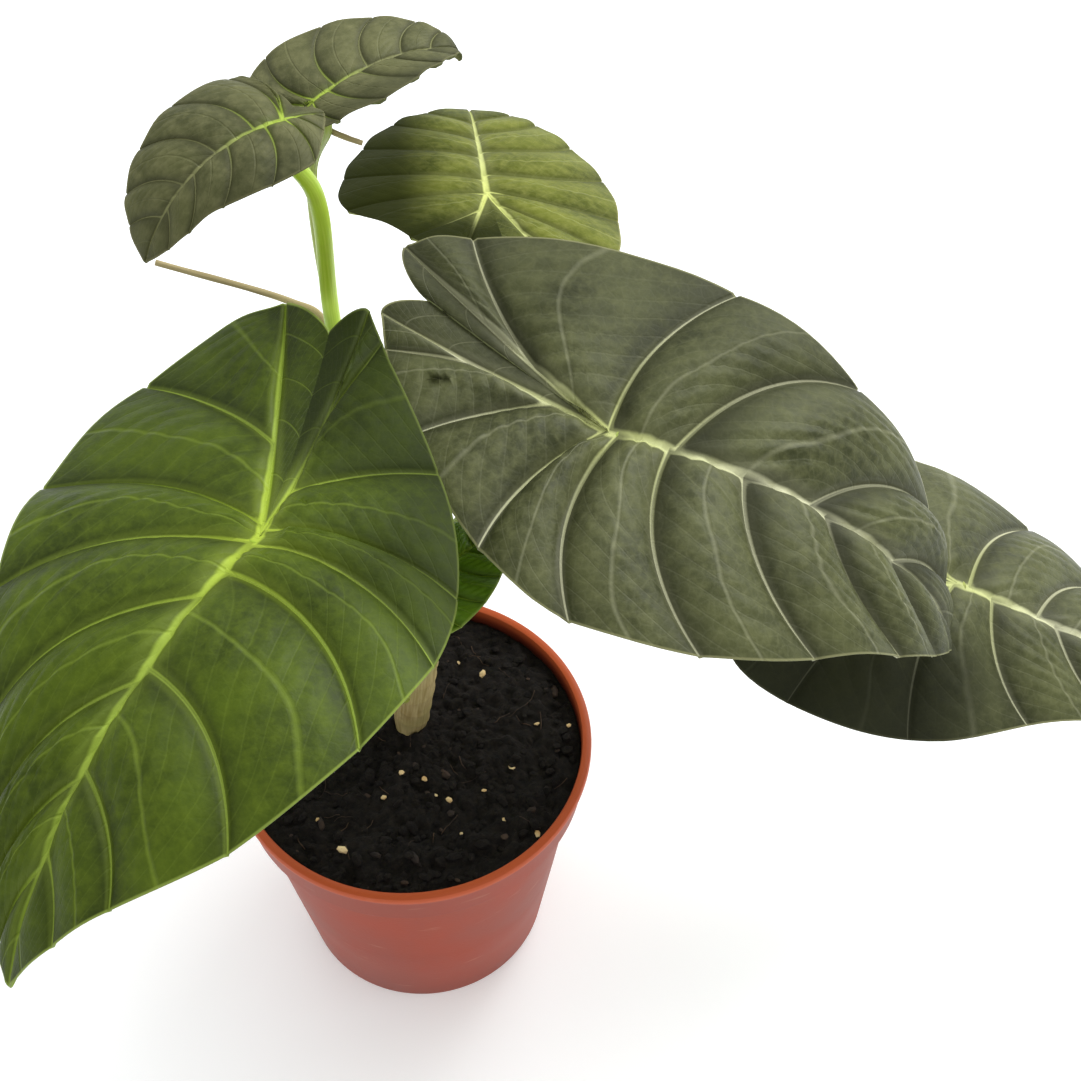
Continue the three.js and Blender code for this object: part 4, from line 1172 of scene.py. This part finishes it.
class ALOCASIA_OT_trunk(bpy.types.Operator):
    """Grow the short trunk with its leaf scars"""
    bl_idname = "alocasia.trunk"
    bl_label = "Trunk"

    def execute(self, context):
        low = TRUNK_FOOT
        high = TRUNK_TOP + (TRUNK_TOP - TRUNK_FOOT).normalized() * 1.5

        def radius_at(s, angle):
            z = s * TRUNK_LENGTH
            ring = sum(math.exp(-((z - at + 1.2 * math.cos(angle + 1.9 * at)) / 0.9)**2)
                       for at in TRUNK_SCARS)
            narrow = 2.3 * math.exp(-max(z - 12.0, 0.0) / 12.0)
            bulge = 0.22 * noise.noise(Vector((2.2 * math.cos(angle), 2.2 * math.sin(angle), z * 0.12)))
            close = 1 - 0.45 * max(0, (s - 0.93) / 0.07)**2
            return (TRUNK_RADIUS - 0.7 * s - narrow + 0.28 * ring + bulge) * close

        piece = sweep_stem("trunk_stem", [tuple(low), tuple(low.lerp(high, 0.5)), tuple(high)],
                           radius_at, 48, 0.7, 0.006)
        own(piece, bark_surface(), "trunk_bark", "trunk")
        return {"FINISHED"}


class ALOCASIA_OT_leaves(bpy.types.Operator):
    """Grow the seven blades, the front one bright and young and the others grey-green"""
    bl_idname = "alocasia.leaves"
    bl_label = "Leaves"

    def execute(self, context):
        looks = context.scene.alocasia_plant
        # Young skin is thin and glossy, so the green glows and the veins are yellow-green.
        young = leaf_surface("young_waxy_leaf", "#2f3d04", "#425307", "#576812", "#90a63e", "#9eb338",
                             "#8fa248", "#74864a", 0.4, 0.2, 0.24, 0.2)
        fresh = leaf_surface("small_new_leaf", "#47660b", "#5b7d12", "#6c8e20", "#86a034", "#93ad34",
                             "#8fa248", "#74864a", 0.4, 0.2, 0.2, 0.2)
        # Mature skin is leathery with a grey bloom, so it is duller, and its veins are silvery.
        mature = leaf_surface("mature_leathery_leaf", "#34381d", "#4c502f", "#676a44", "#c3c4a2",
                              "#b3ba72", "#96966a", "#70754e", 0.42, 0.22, 0.12, 0.12)
        olive = leaf_surface("olive_leathery_leaf", "#3d4510", "#626926", "#868948", "#b8be7c", "#c2ca74",
                             "#8a8a55", "#6e7444", 0.5, 0.06, 0.14, 0.14)
        top = leaf_surface("small_leathery_leaf", "#404324", "#5b5d38", "#73734e", "#7d7f55", "#9db63c",
                           "#6c6b46", "#70744c", 0.44, 0.2, 0.1, 0.1)
        chosen = {"leaf_front": (young, "young_leaf"), "leaf_young": (fresh, "young_leaf"),
                  "leaf_back": (olive, "mature_leaf"), "leaf_top": (top, "mature_leaf"),
                  "leaf_top_left": (top, "mature_leaf")}
        for name, leaf in LEAVES.items():
            material, slot = chosen.get(name, (mature, "mature_leaf"))
            piece = grow_blade(name.replace("leaf", "blade"), leaf, looks)
            own(piece, material, slot, name)
        return {"FINISHED"}


class ALOCASIA_OT_stalks(bpy.types.Operator):
    """Grow the leaf stalks and the two spent stalks"""
    bl_idname = "alocasia.stalks"
    bl_label = "Stalks"

    def execute(self, context):
        looks = context.scene.alocasia_plant
        green = stalk_surface("green_leaf_stalk", "#8b8a50", "#8fa046", "#b3c062", 0.42)
        bright = stalk_surface("young_leaf_stalk", "#8f9048", "#a3c234", "#c3d85a", 0.38)
        for name, plan in LEAF_STALKS.items():
            piece = grow_stalk(name.replace("stalk", "petiole"), plan, looks)
            skin = bright if name in ("stalk_top_left", "stalk_front") else green
            own(piece, skin, "green_stalk", name)
        dry = stalk_surface("dry_spent_stalk", "#7d6b45", "#a39468", "#c2b48a", 0.75)
        for name, plan in SPENT_STALKS.items():
            low, high = plan["radii"]

            def radius_at(s, angle):
                wither = 0.16 * noise.noise(Vector((s * 14, math.cos(angle), math.sin(angle))))
                return (low + (high - low) * s) * (1 + wither)

            piece = sweep_stem(name.replace("spent", "dry"), plan["route"], radius_at, 14, 1.4, 0.05)
            own(piece, dry, "dry_stalk", name)
        return {"FINISHED"}


class ALOCASIA_PT_panel(bpy.types.Panel):
    """Lists the plant's operators and settings"""
    bl_idname = "ALOCASIA_PT_panel"
    bl_label = "Potted Alocasia"
    bl_space_type = "VIEW_3D"
    bl_region_type = "UI"
    bl_category = "Alocasia"

    def draw(self, context):
        for operator in OPERATORS:
            self.layout.operator(operator.bl_idname)
        for group in GROUPS:
            settings = getattr(context.scene, group)
            for key in settings.__annotations__:
                self.layout.prop(settings, key)


OPERATORS = (ALOCASIA_OT_stage, ALOCASIA_OT_pot, ALOCASIA_OT_soil, ALOCASIA_OT_trunk,
             ALOCASIA_OT_leaves, ALOCASIA_OT_stalks)
GROUPS = {"alocasia_pot": ALOCASIA_PG_pot, "alocasia_soil": ALOCASIA_PG_soil,
          "alocasia_plant": ALOCASIA_PG_plant, "alocasia_stage": ALOCASIA_PG_stage}


def register():
    for group, kind in GROUPS.items():
        bpy.utils.register_class(kind)
        setattr(bpy.types.Scene, group, bpy.props.PointerProperty(type=kind))
    for kind in (*OPERATORS, ALOCASIA_PT_panel):
        bpy.utils.register_class(kind)


def unregister():
    for kind in (ALOCASIA_PT_panel, *reversed(OPERATORS)):
        bpy.utils.unregister_class(kind)
    for group, kind in reversed(GROUPS.items()):
        delattr(bpy.types.Scene, group)
        bpy.utils.unregister_class(kind)


def main():
    register()
    bpy.ops.alocasia.stage()
    bpy.ops.alocasia.pot()
    bpy.ops.alocasia.soil()
    bpy.ops.alocasia.trunk()
    bpy.ops.alocasia.leaves()
    bpy.ops.alocasia.stalks()


if __name__ == "__main__":
    main()
